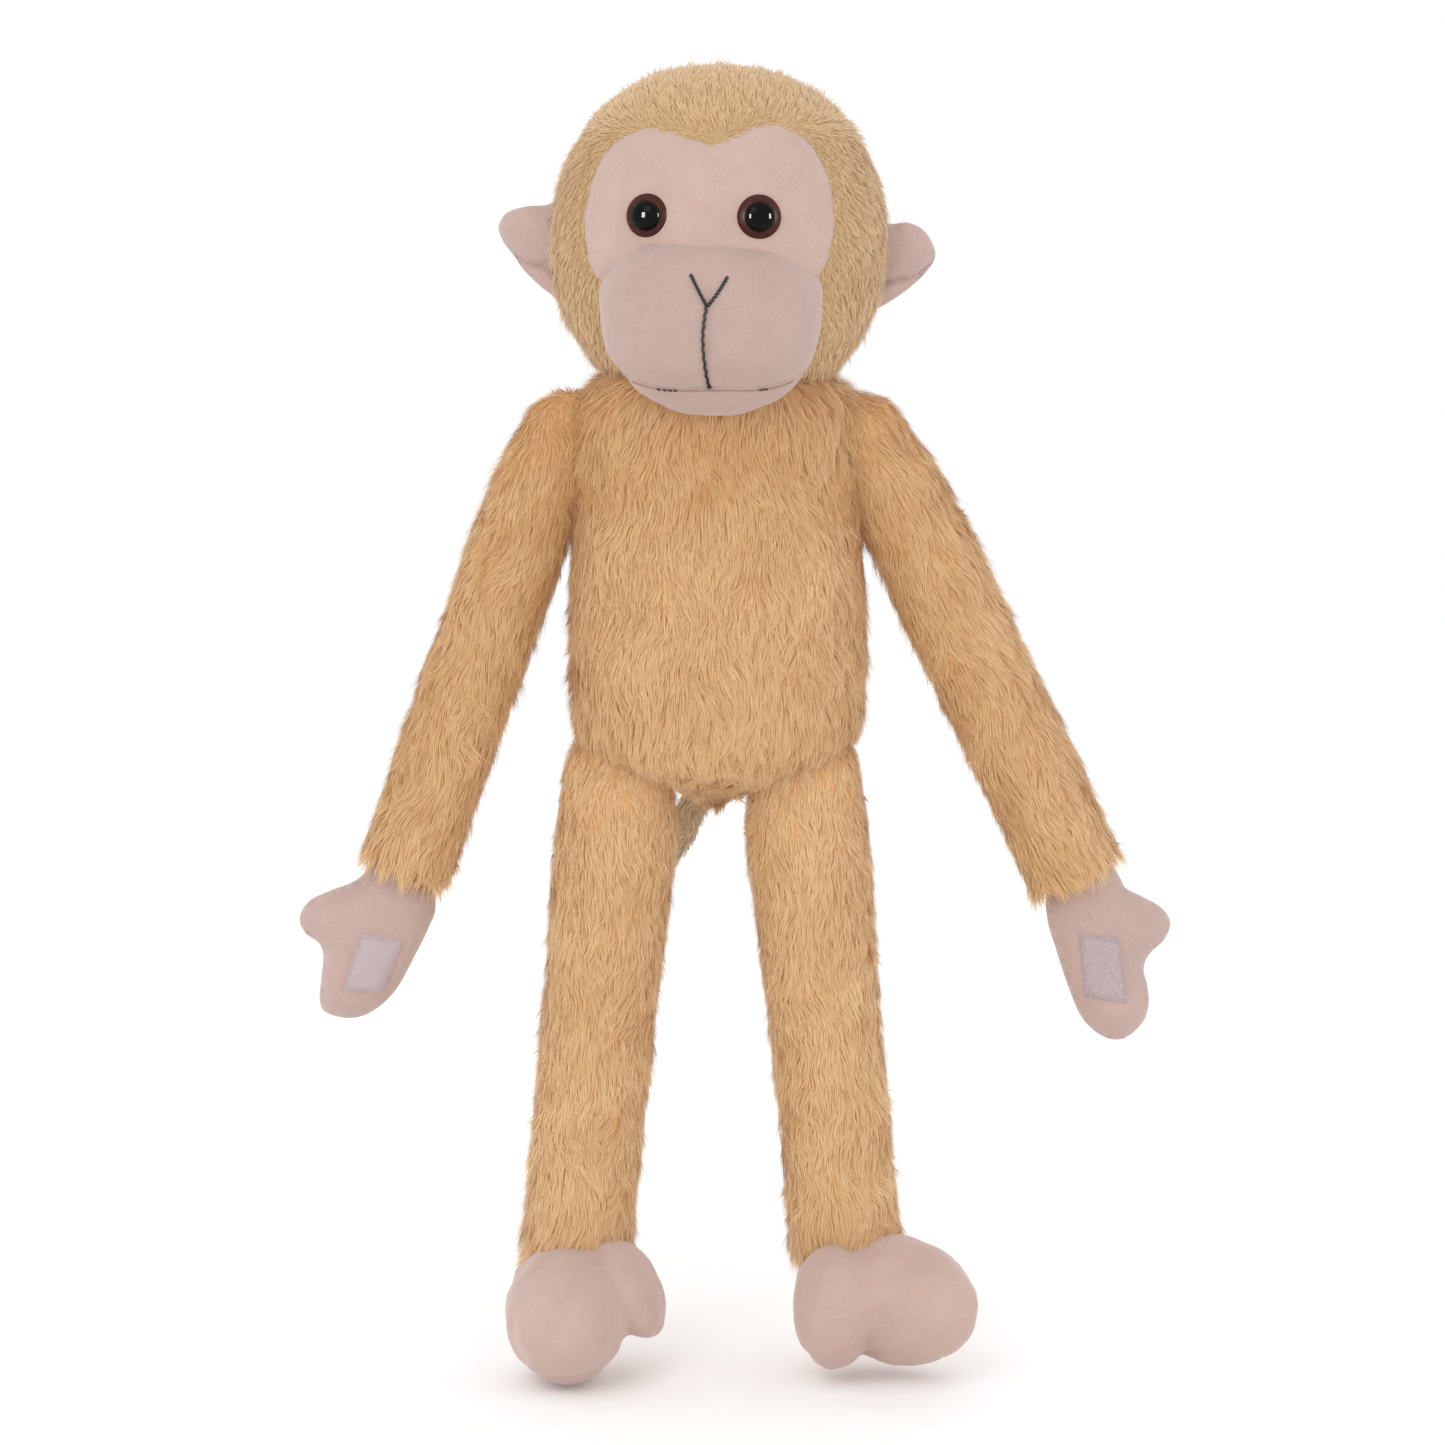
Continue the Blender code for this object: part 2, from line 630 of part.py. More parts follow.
def tail():
    axis = empty("tail_axis", TAIL_AT)
    cover = shaped("tail_cover", tail_tube("tail", 0), PARTS, "tail_fur")
    inside = taken(shaped("within", tail_tube("within", TAIL_WALL), CUTTERS))
    cut(cover, "DIFFERENCE", inside, rod("opening", (0, 0, 0), (0, -6, 12), 3))
    cover.parent = axis
    shaped("tail_stuffing", tail_tube("filling", TAIL_WALL + FIT), PARTS, "filling", axis)


# ---------------------------------------------------------------- placing


def centre_on_origin():
    """Moves the whole monkey so that the middle of its box stands over the origin."""
    bpy.context.view_layer.update()
    graph = bpy.context.evaluated_depsgraph_get()
    meshes = [obj.evaluated_get(graph) for obj in PARTS.objects if obj.type == "MESH"]
    points = [obj.matrix_world @ vertex.co for obj in meshes for vertex in obj.data.vertices]
    for obj in PARTS.objects:
        if obj.parent is None:
            for k in (0, 1):
                obj.location[k] -= (min(p[k] for p in points) + max(p[k] for p in points)) / 2


clear_scene()
PARTS = new_collection("plush_monkey")
CUTTERS = new_collection("cutters")
torso()
head()
for SIDE in ("right", "left"):
    arm(SIDE)
    leg(SIDE)
tail()
centre_on_origin()
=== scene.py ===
"""Looks of the hanging plush monkey: combed fur, velboa face, hands and feet, plastic eyes and sewn details.

Shapes are made in millimetres in the toy's own frame, whose X and Y are zero on the neck's axis, and the
matrix TOY puts them in the row frame. The monkey faces -Y and its left side is towards +X.
"""

import json
import math

import bmesh
import bpy
import numpy as np
from mathutils import Matrix, Vector, geometry, kdtree
from mathutils.bvhtree import BVHTree


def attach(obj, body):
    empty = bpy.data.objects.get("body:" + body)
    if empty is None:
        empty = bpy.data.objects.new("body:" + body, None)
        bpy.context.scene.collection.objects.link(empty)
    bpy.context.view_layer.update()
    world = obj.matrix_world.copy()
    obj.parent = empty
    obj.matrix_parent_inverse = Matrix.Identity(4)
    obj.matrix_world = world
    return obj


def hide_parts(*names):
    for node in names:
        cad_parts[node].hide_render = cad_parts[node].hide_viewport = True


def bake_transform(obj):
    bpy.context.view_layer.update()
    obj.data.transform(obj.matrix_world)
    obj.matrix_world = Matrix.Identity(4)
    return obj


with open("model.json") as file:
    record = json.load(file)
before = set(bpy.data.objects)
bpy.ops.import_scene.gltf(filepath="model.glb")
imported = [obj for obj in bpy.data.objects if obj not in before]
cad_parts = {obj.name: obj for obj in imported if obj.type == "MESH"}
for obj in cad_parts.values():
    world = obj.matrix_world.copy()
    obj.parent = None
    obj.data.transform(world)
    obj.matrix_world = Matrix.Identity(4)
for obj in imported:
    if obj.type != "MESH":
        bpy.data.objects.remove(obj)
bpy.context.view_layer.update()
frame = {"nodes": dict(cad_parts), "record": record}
JOINTS = {joint["name"]: joint for joint in frame["record"]["behaviour"]["joints"]}
MM = 0.001
AXIS = Vector(JOINTS["neck_turn"]["pos_m"])
ORIGIN = Vector((AXIS.x, AXIS.y, 0))
TOY = Matrix.Translation(ORIGIN) @ Matrix.Scale(MM, 4)

# the head sits a little aside, is turned on the neck and rolls about its own middle
HEAD_ASIDE = Matrix.Translation((1.9, 0, 0))
HEAD_TURN = Matrix.Rotation(math.radians(-4), 4, "Z")
HEAD_MIDDLE = Matrix.Translation((0, 0, 470))
HEAD_ROLL = Matrix.Rotation(math.radians(2.2), 4, "Y")
HEAD = TOY @ HEAD_ASIDE @ HEAD_TURN @ HEAD_MIDDLE @ HEAD_ROLL @ HEAD_MIDDLE.inverted()
TORSO = TOY @ Matrix.Translation((0.8, 0, 0))
HANDS = TOY @ Matrix.Translation((0, 0, -6.0)) @ Matrix.Scale(1.013, 4)

SIDES = {"right": -1, "left": 1}
DOWN = np.array((0.0, 0.0, -1.0))
INWARD = Vector((0, 1, 0))
IN_FRONT = -160

# how far the cloth's backing lies under the combed fur, and the pile's faint glow
BODY_PILE = 3.2
HEAD_PILE = 3.0
PILE_GLOW = 0.08

# lengths over which the pile's way, length and tone vary
SWIRL_WAVE = 30
FINE_WAVE = 10
LENGTH_WAVE = 18
TONE_WAVE = 8
ROOT_SINK = 0.6
TUFT_REACH = 6
LEAST_SHARE = 0.02
FUR_SEED = {"torso": 201, "head": 301, "tail": 401, "right": 108, "left": 107}

# the body and the head: (height, half width) up the middle, and their depths as shares of their widths
TORSO_SHAPE = [
    (239, 3), (244, 20), (250, 36), (257, 50), (266, 60), (280, 63), (305, 63.5), (340, 63),
    (363, 62.5), (380, 63), (393, 63), (402, 61), (409, 57), (415, 50.5), (419.5, 41), (422, 27),
    (423, 12),
]
TORSO_DEPTH = 0.76
HEAD_SHAPE = [
    (408, 10), (411, 33), (418, 50), (428, 59), (440, 66), (454, 70), (472, 71), (492, 68.5),
    (510, 60.5), (525, 48.5), (536, 30), (541, 8),
]
HEAD_DEPTH = 0.84
HEAD_Y = -8

# outlines and stitches in the front view, as (x, height)
FACE = [
    (-53.4, 480), (-48.2, 500), (-41, 509.2), (-27.8, 515.3), (-16.5, 513.2), (-5.5, 509.2), (3, 509.4),
    (10.6, 513.3), (23, 516.3), (36.4, 510.8), (45, 497.5), (48.3, 481), (47, 467), (41, 453),
    (20, 440), (-20, 440), (-46.5, 453), (-52.6, 466),
]
MUZZLE_EDGE = [
    (-1.5, 470.3), (21.2, 467), (40.2, 455.5), (43, 440.5), (38.2, 421.5), (28.2, 408.8), (15, 401.6),
    (0.5, 399.4), (-17, 402), (-31.4, 409.8), (-42, 423.5), (-46, 440.5), (-44, 455.3), (-26.8, 468),
]
MUZZLE_MIDDLE = np.array((-1.0, 437.0))
MUZZLE_Y = -50
MUZZLE_DEPTH = 34

# each ear's outline, the fold across it and how it leans back
EARS = {
    "right": (
        [(-58, 486), (-70, 485), (-78, 484.5), (-86, 482), (-89.4, 476.4), (-87.2, 470), (-83, 464.7),
         (-78, 457.8), (-68.7, 449.5), (-58, 445)],
        [(-84, 465.5), (-76, 461.5), (-66, 460.0), (-58, 459.5)], 0.10,
    ),
    "left": (
        [(58, 479), (71.9, 477.5), (79.3, 478), (86.7, 474), (90.7, 465.3), (86.7, 457.8), (76.8, 449),
         (65.7, 442.4), (58, 440)],
        [(58, 452.5), (66.9, 453.9), (81.8, 456.8), (90, 462)], 0.10,
    ),
}
EAR_Y = -2
EAR_BEND_FROM = 70
EYES = {"right": (-26.6, 479.0), "left": (17.2, 478.4)}
EYE_R = 9
PUPIL_R = 6.2
EYE_RISE = 4.4
PUPIL_RISE = 3.4
PUPIL_AHEAD = 2.6
NOSE_ARMS = [
    [(-9.5, 455.3), (-6.6, 449.4), (-3.6, 443.4)],
    [(4.8, 454.4), (1.6, 449.2), (-2.6, 443.4)],
]
NOSE_STEM = [(-3.4, 443.4), (-4.3, 438), (-4.9, 431.5), (-4.6, 424), (-3.6, 417), (-2.4, 412)]
NOSE_THREAD = 0.56
KNOT_THREAD = 0.75
MOUTH_THREAD = 0.28
STITCH_THREAD = 0.33
PATCH_THREAD = 0.16
MOUTH_STITCHES = [-23.0, -20.6, -18.4, -16.4, 17.5, 19.4]
HAND = {
    "right": [
        (-138, 221), (-144.5, 212), (-150, 207.8), (-158.5, 204.6), (-167.7, 200), (-171.6, 193),
        (-169.3, 186.8), (-163.6, 182.4), (-162, 176.8), (-163, 167.5), (-163.6, 158.3),
        (-160.8, 153.5), (-151, 151.2), (-141.5, 154.3), (-132.2, 162.9), (-124.4, 176.8),
        (-118.3, 189.1), (-115.5, 197), (-117, 208), (-126, 219),
    ],
    "left": [
        (159, 220), (166, 211), (169, 205.6), (175.3, 202.3), (183.8, 197.4), (187.6, 191.2),
        (185.3, 184.2), (179, 177.8), (176.8, 171.8), (178.4, 165), (179, 156.5), (176.2, 148.8),
        (168.5, 142.6), (160, 143.7), (151.5, 151.4), (145.5, 165), (140.4, 180.4), (136.9, 192.3),
        (137, 205), (146, 218),
    ],
}
PATCH_EDGE = {
    "right": [(-145.3, 188.4), (-127.6, 184.8), (-136.8, 163.2), (-153.1, 164.4)],
    "left": [(148.9, 188.4), (165.4, 186.3), (169.3, 158.7), (151.5, 161.3)],
}
PATCH_STITCHES = 72

# each foot's overlapping forms: centre, half sizes, turn about Z and lean about Y in degrees
FOOT_LOBES = {
    "right": [
        ((-62, -27, 27), (25.4, 39, 27.4), 4, 0), ((-35.5, -15, 36), (11, 25, 23.5), -10, -27),
        ((-60, -12, 36), (25, 27, 20), 0, 0), ((-47, -17, 34), (15, 28, 19), 0, -20),
    ],
    "left": [
        ((76.5, -19, 31.5), (25, 37.5, 27), 48, -12), ((48.9, -25, 30), (17, 25.5, 26), 6, 0),
        ((62, -14, 36), (26, 29, 20), 20, 0), ((59, -20, 33), (15, 27, 19), 0, 0),
    ],
}
SOLE_SEAM = {"right": 8.5, "left": 11.0}
TAIL_POINTS = 40
TAIL_R = 6.5
TAIL_TAPER = 2.0
TAIL_ROUTE = [(0, 0, 0), (-9, 12, -17), (-17, 28, -35), (-28, 48, -50), (-41, 69, -56), (-52, 88, -52)]

# seam lines on the body, and the lines where the pile parts and its roots show, both in the front view.
# The pile is thinned along both and darkened there with painted shade
TORSO_SEAMS = [
    ((-58, 268), (-46, 255)), ((-46, 255), (-12, 242)), ((56, 267), (44, 254)), ((44, 254), (12, 242)),
    ((2.5, 255), (2.5, 240)), ((-61, 375), (-60, 340)), ((61, 375), (60, 340)),
]
PARTINGS = [
    ((-53, 374), (-58, 352)), ((-58, 352), (-64, 334)), ((51, 372), (56, 352)), ((56, 352), (61, 338)),
    ((-83, 355), (-89, 341)), ((-65, 397), (-73, 386)), ((-51, 398), (-62, 396)), ((-90, 335), (-93, 328)),
    ((66, 398), (76, 386)), ((88, 352), (93, 344)), ((-58, 268), (-46, 255)), ((56, 267), (44, 254)),
    ((-6, 374), (-4, 371)),
]

# arms and legs: half widths at shares of their length
ARM_SHAPE = [(0.0, 19.5), (0.12, 21), (0.3, 22), (0.5, 21.8), (0.85, 21.5), (0.975, 21)]
LEG_SHAPE = [(0.0, 27.5), (0.10, 27.5), (0.25, 26.5), (0.5, 25.5), (0.8, 25.2), (1.015, 25.2)]
WIDEN = {("right", "arm"): 0.0, ("left", "arm"): 1.0, ("right", "leg"): 0.0, ("left", "leg"): 0.0}

# the rounded top of a limb: its radius, its height and how full its curve is, and its lean along X
TOP_BALL = {"arm": (19.5, 18.5, 1.0), "leg": (27.5, 41.0, 0.6)}
TOP_LEAN = {("right", "arm"): 4.0, ("left", "arm"): -10.0, ("right", "leg"): -6.0, ("left", "leg"): 6.0}

# how far a limb's middle line bows outwards, at shares of its length
BOW = {
    ("right", "arm"): ((0, 0.12, 0.3, 0.8, 1), (-1.0, 0.8, 0.9, 0.3, 0)),
    ("left", "arm"): ((0, 0.14, 0.25, 0.6, 0.8, 1), (-5.5, -2.0, -1.0, 0.6, 1.8, 1.6)),
    ("right", "leg"): ((0, 0.5, 1), (0.0, 0.4, 0.8)),
    ("left", "leg"): ((0, 0.3, 1), (-0.3, 0.0, 0.4)),
}

# each limb's joints from top to end, its two bodies, its shape and where its fringe is full, as a share
LIMBS = {
    "arm": (("shoulder_swing", "elbow", "wrist"), ("upper_arm", "forearm"), ARM_SHAPE, 0.95),
    "leg": (("hip_swing", "knee", "ankle"), ("thigh", "shin"), LEG_SHAPE, 0.93),
}
BEND_REACH = 14
LIMB_FUR = 10.5
LIMB_DENSITY = 1.3

# camera and lights: the frame's width at the aim in millimetres, distances in metres and powers in watts
FRAME_WIDE = 592
SENSOR = 36
CAMERA_AWAY = 1.65
CAMERA_AIM = (2.9, -25, 274)
CAMERA_TILT = 5.5
WORLD_LIGHT = 1.0
KEY_LIGHT = 8.0
SOFTBOX_LIGHT = 60.0
SOFTBOXES = [(-1.05, -1.45), (1.60, -0.85)]
BACK_LIGHT = 3.0


# ---------------- small helpers


def joint_at(name):
    """A joint's centre in the toy's frame, in millimetres."""
    return (Vector(JOINTS[name]["pos_m"]) - ORIGIN) / MM


def to_toy(points):
    return (points - np.array(ORIGIN)) / MM


def to_row(points):
    return points * MM + np.array(ORIGIN)


def waves(points, size, seed, count=9):
    """Smooth noise between about -1 and 1 that varies over a length, for arrays of points."""
    rng = np.random.default_rng(seed)
    turns = rng.normal(size=(count, 3))
    size = size * np.linalg.norm(turns, axis=1, keepdims=True)
    turns *= 2 * math.pi / size * rng.uniform(0.6, 1.4, (count, 1))
    return np.sin(points @ turns.T + rng.uniform(0, 6.28, count)).sum(1) / math.sqrt(count) * 0.9


def unit(vectors):
    return vectors / np.maximum(np.linalg.norm(vectors, axis=-1, keepdims=True), 1e-9)


def steps(value, low, high):
    """0 below low and 1 above high, smooth between."""
    t = np.clip((value - low) / (high - low), 0, 1)
    return t * t * (3 - 2 * t)


def ridge(away, width):
    """1 on a line and falling off smoothly over a width."""
    return np.exp(-((away / width) ** 2))


def spline(points, count, closed=False):
    """A smooth run of points through the ones given."""
    pts = np.array(points, float)
    n = len(pts)
    spans = n if closed else n - 1
    found = []
    for t in np.linspace(0, spans, count, endpoint=not closed):
        k = min(int(t), spans - 1)
        u = t - k
        pick = [(k + d) % n if closed else min(max(k + d, 0), n - 1) for d in (-1, 0, 1, 2)]
        a, b, c, d = pts[pick]
        square, cube = 2 * a - 5 * b + 4 * c - d, 3 * b - a - 3 * c + d
        found.append(0.5 * (2 * b + (c - a) * u + square * u**2 + cube * u**3))
    return np.array(found)


def in_space(flat, y=0.0):
    """Front-view points as points in space, at one depth or at a depth for each."""
    return np.stack([flat[:, 0], np.zeros(len(flat)) + y, flat[:, 1]], 1)


def linked(name, data):
    made = bpy.data.objects.new(name, data)
    bpy.context.scene.collection.objects.link(made)
    return made


def mesh_object(name, verts, faces, matrix=TOY):
    mesh = bpy.data.meshes.new(name)
    mesh.from_pydata([tuple(v) for v in verts], [], [tuple(int(i) for i in f) for f in faces])
    mesh.transform(matrix)
    mesh.validate()
    mesh.shade_smooth()
    return linked(name, mesh)


def finish_piece(obj, material, body=None, blend=None, nodes=()):
    """Gives a piece its material and the body it rides on, or with a blend only fixes it in place, and hides
    the nodes it stands for.
    """
    obj.data.materials.clear()
    obj.data.materials.append(material)
    if blend:
        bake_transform(obj)
    else:
        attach(obj, body)
    if nodes:
        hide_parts(*nodes)
    return obj


# ---------------- materials


# how much of the blotches velboa shows, and its colours: (lying flat, brushed up).
# The blotches are painted nap shading, darker where the nap is brushed up
VELBOA_BLOTCH = 0.45
FACE_CLOTH = ((0.585, 0.415, 0.362), (0.48, 0.32, 0.27))
MUZZLE_COLOURS = ((0.52, 0.37, 0.325), (0.42, 0.285, 0.245))
SOFT_COLOURS = ((0.545, 0.385, 0.345), (0.44, 0.30, 0.26))


def new_material(name, rough, sheen=0.0):
    made = bpy.data.materials.new(name)
    made.use_nodes = True
    nodes = made.node_tree.nodes
    shader = nodes["Principled BSDF"]
    shader.inputs["Roughness"].default_value = rough
    shader.inputs["Sheen Weight"].default_value = sheen
    shader.inputs["Sheen Roughness"].default_value = 0.5
    shader.inputs["Specular IOR Level"].default_value = 0.3
    return made, made.node_tree, shader


def ramp(tree, source, stops):
    made = tree.nodes.new("ShaderNodeValToRGB")
    while len(made.color_ramp.elements) > 1:
        made.color_ramp.elements.remove(made.color_ramp.elements[0])
    for k, (place, colour) in enumerate(stops):
        element = made.color_ramp.elements[0] if k == 0 else made.color_ramp.elements.new(place)
        element.position = place
        element.color = (*colour, 1)
    tree.links.new(source, made.inputs[0])
    return made.outputs[0]


def mix(tree, share, first, second, kind="MIX"):
    made = tree.nodes.new("ShaderNodeMix")
    made.data_type = "RGBA"
    made.blend_type = kind
    if isinstance(share, float):
        made.inputs[0].default_value = share
    else:
        tree.links.new(share, made.inputs[0])
    for socket, value in ((made.inputs[6], first), (made.inputs[7], second)):
        if isinstance(value, tuple):
            socket.default_value = (*value, 1)
        else:
            tree.links.new(value, socket)
    return made.outputs[2]


def noise_node(tree, scale, detail=3.0, rough=0.6):
    place = tree.nodes.new("ShaderNodeTexCoord")
    made = tree.nodes.new("ShaderNodeTexNoise")
    made.inputs["Scale"].default_value = scale
    made.inputs["Detail"].default_value = detail
    made.inputs["Roughness"].default_value = rough
    tree.links.new(place.outputs["Object"], made.inputs["Vector"])
    return made.outputs["Fac"]


def bump(tree, shader, height, strength, distance):
    made = tree.nodes.new("ShaderNodeBump")
    made.inputs["Strength"].default_value = strength
    made.inputs["Distance"].default_value = distance
    tree.links.new(height, made.inputs["Height"])
    tree.links.new(made.outputs["Normal"], shader.inputs["Normal"])


def pile_material(name, dark, light):
    """Fur fibres: u of their own map is the fibre's tone and v runs from its root to its tip.
    Each tone darkens towards the root: partly the fibres' own colour, partly painted shade deep in the pile.

    A faint glow of the root's colour stands for the light that real pile lets through.
    """
    made, tree, shader = new_material(name, 0.75, 0.25)
    shader.inputs["Emission Color"].default_value = (*light[0], 1)
    shader.inputs["Emission Strength"].default_value = PILE_GLOW
    place = tree.nodes.new("ShaderNodeUVMap")
    place.uv_map = "OFBake"
    split = tree.nodes.new("ShaderNodeSeparateXYZ")
    tree.links.new(place.outputs["UV"], split.inputs[0])
    # darker towards the root: partly the fibres' own colour, partly painted shade deep in the pile, which
    # casts no shadow
    low = ramp(tree, split.outputs["Y"], [(0.0, dark[0]), (0.35, dark[1]), (1.0, dark[2])])
    high = ramp(tree, split.outputs["Y"], [(0.0, light[0]), (0.35, light[1]), (1.0, light[2])])
    tree.links.new(mix(tree, split.outputs["X"], low, high), shader.inputs["Base Color"])
    return made


def backing_material(name, colour):
    """The cloth under the pile, mottled."""
    made, tree, shader = new_material(name, 0.9)
    dim = tuple(0.75 * c for c in colour)
    spots = noise_node(tree, 900.0)
    tree.links.new(ramp(tree, spots, [(0.3, dim), (0.7, colour)]), shader.inputs["Base Color"])
    return made


def velboa_material(name, light, deep):
    """Short pile cloth: soft blotches of painted shading where the nap lies differently, fine speckle and a
    faint sheen.
    """
    made, tree, shader = new_material(name, 0.82, 0.35)
    # painted nap shading: darker blotches where the nap is drawn as brushed up
    blotch = ramp(tree, noise_node(tree, 55.0, 4.0), [(0.32, (0, 0, 0)), (0.72, (1, 1, 1))])
    base = mix(tree, blotch, deep, light)
    base = mix(tree, VELBOA_BLOTCH, light, base)
    speck = ramp(tree, noise_node(tree, 1500.0, 2.0), [(0.35, (0.90, 0.88, 0.87)), (0.65, (1, 1, 1))])
    tree.links.new(mix(tree, 1.0, base, speck, "MULTIPLY"), shader.inputs["Base Color"])
    bump(tree, shader, noise_node(tree, 1300.0, 3.0, 0.7), 0.35, 0.0004)
    return made


def plain_material(name, colour, rough, specular=0.3, grain=0.0, scale=700.0, dim=0.7):
    made, tree, shader = new_material(name, rough)
    spots = noise_node(tree, scale)
    stops = [(0.35, tuple(dim * c for c in colour)), (0.65, colour)]
    tree.links.new(ramp(tree, spots, stops), shader.inputs["Base Color"])
    shader.inputs["Specular IOR Level"].default_value = specular
    if grain:
        bump(tree, shader, noise_node(tree, 1600.0), grain, 0.0003)
    return made


# each fur's dark and light tones run root, middle, tip, darker at the root partly as painted shade deep in
# the pile
BODY_FUR = pile_material(
    "body_pile",
    ((0.55, 0.24, 0.060), (0.58, 0.29, 0.095), (0.64, 0.37, 0.145)),
    ((0.72, 0.42, 0.16), (0.78, 0.53, 0.27), (0.84, 0.63, 0.36)),
)
HEAD_FUR = pile_material(
    "head_pile",
    ((0.52, 0.29, 0.11), (0.58, 0.36, 0.16), (0.65, 0.43, 0.22)),
    ((0.58, 0.35, 0.15), (0.71, 0.47, 0.24), (0.82, 0.59, 0.34)),
)
TAIL_FUR = pile_material(
    "tail_pile",
    ((0.40, 0.26, 0.14), (0.48, 0.34, 0.20), (0.56, 0.42, 0.28)),
    ((0.46, 0.32, 0.19), (0.58, 0.44, 0.29), (0.68, 0.54, 0.38)),
)
BACKING = backing_material("body_backing", (0.84, 0.47, 0.19))
# the head's backing is darkened as painted shade under its pile; the tail's skin uses it too
HEAD_BACKING = backing_material("head_backing", (0.56, 0.37, 0.18))
VELBOA = velboa_material("velboa", *FACE_CLOTH)
MUZZLE_CLOTH = velboa_material("muzzle_velboa", *MUZZLE_COLOURS)
SOFT_CLOTH = velboa_material("soft_velboa", *SOFT_COLOURS)
THREAD = plain_material("black_thread", (0.012, 0.010, 0.010), 0.6, grain=0.4)
SEAM = plain_material("pink_thread", (0.50, 0.31, 0.26), 0.8, grain=0.4)
IRIS = plain_material("eye_iris", (0.080, 0.027, 0.020), 0.35, specular=0.06)
PUPIL = plain_material("eye_pupil", (0.002, 0.002, 0.0025), 0.04, specular=0.12)
PATCHES = {
    "right": plain_material("loop_side", (0.52, 0.415, 0.43), 0.9, grain=0.4, scale=2600.0, dim=0.86),
    "left": plain_material("hook_side", (0.56, 0.44, 0.455), 0.8, grain=0.9, scale=2100.0, dim=0.62),
}


# ---------------- fur


def points_of(mesh):
    """A mesh's points and their smooth directions, as arrays."""
    verts, normals = np.empty(len(mesh.vertices) * 3), np.empty(len(mesh.vertices) * 3)
    mesh.vertices.foreach_get("co", verts)
    mesh.vertex_normals.foreach_get("vector", normals)
    return verts.reshape(-1, 3), normals.reshape(-1, 3)


def samples(obj, count, rng):
    """Points spread evenly over a mesh, the surface's smooth direction at each, and its area, in metres."""
    mesh = obj.data
    mesh.calc_loop_triangles()
    verts, normals = points_of(mesh)
    tris = np.empty(len(mesh.loop_triangles) * 3, int)
    mesh.loop_triangles.foreach_get("vertices", tris)
    tris = tris.reshape(-1, 3)
    a, b, c = (verts[tris[:, k]] for k in range(3))
    area = np.linalg.norm(np.cross(b - a, c - a), axis=1)
    pick = rng.choice(len(tris), count, p=area / area.sum())
    u, v = rng.random(count), rng.random(count)
    fold = u + v > 1
    u[fold], v[fold] = 1 - u[fold], 1 - v[fold]
    weights = np.stack([1 - u - v, u, v], 1)[:, :, None]
    points = (verts[tris[pick]] * weights).sum(1)
    return points, unit((normals[tris[pick]] * weights).sum(1)), area.sum() / 2


def grow(
    name, skin, density, length, comb, seed, keep=None, shade=None,
    width=0.40, lift=0.17, tuft=4.0, pull=0.26, ruffle=1.0,
):
    """A pile of tapered fibres combed along the skin and drawn together in tufts.

    density is fibres for each square millimetre, and length, width and tuft are in millimetres. comb, keep
    and shade take points in the toy's frame: the way the fibres lie, which stay and how long they are as a
    share, and how light each is.
    """
    rng = np.random.default_rng(seed)
    area = samples(skin, 8, rng)[2]
    points, normals, _ = samples(skin, int(area / MM**2 * density), rng)
    points = to_toy(points)
    share = np.ones(len(points)) if keep is None else keep(points, normals)
    stay = share > LEAST_SHARE
    points, normals, share = points[stay], normals[stay], share[stay]
    centres, near = tufts(points, density * tuft**2, rng)
    own = rng.normal(size=(len(centres), 3))[near]

    way = fibre_ways(points, normals, comb, own, ruffle, seed, rng)
    spread = 1 + 0.14 * waves(points, LENGTH_WAVE, seed + 7)
    long = length * share * spread * rng.uniform(0.72, 1.12, len(points))
    stand = np.clip(1 + 0.28 * own[:, 0], 0.4, 1.8)
    high = lift * stand * (0.6 + 1.8 * rng.random(len(points)) ** 3)
    tips = points + way * long[:, None] + normals * (long * high)[:, None]
    target = tips[centres][near]
    draw = pull * rng.uniform(0.5, 1.0, len(points))[:, None]
    far = np.linalg.norm(target - tips, axis=1) + 1e-6
    tips = tips + (target - tips) * draw * np.minimum(1, TUFT_REACH / far)[:, None]

    across = unit(np.cross(tips - points, normals)) * (width / 2)
    root = points - normals * ROOT_SINK
    middle = points * 0.52 + tips * 0.48 + normals * (0.07 * long)[:, None]
    narrow = across * 0.85
    verts = np.stack([root - across, root + across, middle - narrow, middle + narrow, tips], 1)
    tone = fibre_tones(points, normals, shade, own, seed, rng)
    return fibre_object(name, to_row(verts.reshape(-1, 3)), tone, unit(normals + 0.25 * way))


def tufts(points, fibres, rng):
    """Some of the fibres as centres of tufts of that many fibres, and each fibre's nearest centre."""
    centres = rng.choice(len(points), max(int(len(points) / fibres), 1), replace=False)
    tree = kdtree.KDTree(len(centres))
    for k, c in enumerate(centres):
        tree.insert(points[c], k)
    tree.balance()
    return centres, np.array([tree.find(p)[1] for p in points])


def fibre_ways(points, normals, comb, own, ruffle, seed, rng):
    """The way each fibre lies along the skin: combed, swirled a little and swayed with its tuft."""
    swirl = np.stack([waves(points, SWIRL_WAVE, seed + k) for k in (1, 2, 3)], 1)
    fine = np.stack([waves(points, FINE_WAVE, seed + k) for k in (4, 5, 6)], 1)
    stray = ruffle * (0.30 * swirl + 0.18 * fine + 0.16 * own)
    way = unit(comb(points, normals)) + stray + rng.normal(size=(len(points), 3)) * 0.08
    return unit(way - (way * normals).sum(1, keepdims=True) * normals)


def fibre_tones(points, normals, shade, own, seed, rng):
    """How light each fibre is, from 0 to 1."""
    broad = 0.10 * waves(points, SWIRL_WAVE, seed + 9)
    fine = 0.07 * waves(points, TONE_WAVE, seed + 10)
    tone = 0.56 + broad + fine + rng.normal(size=len(points)) * 0.10
    tone = tone + 0.05 * own[:, 1]
    if shade is not None:
        tone = tone + shade(points, normals)
    return np.clip(tone, 0.03, 0.97)


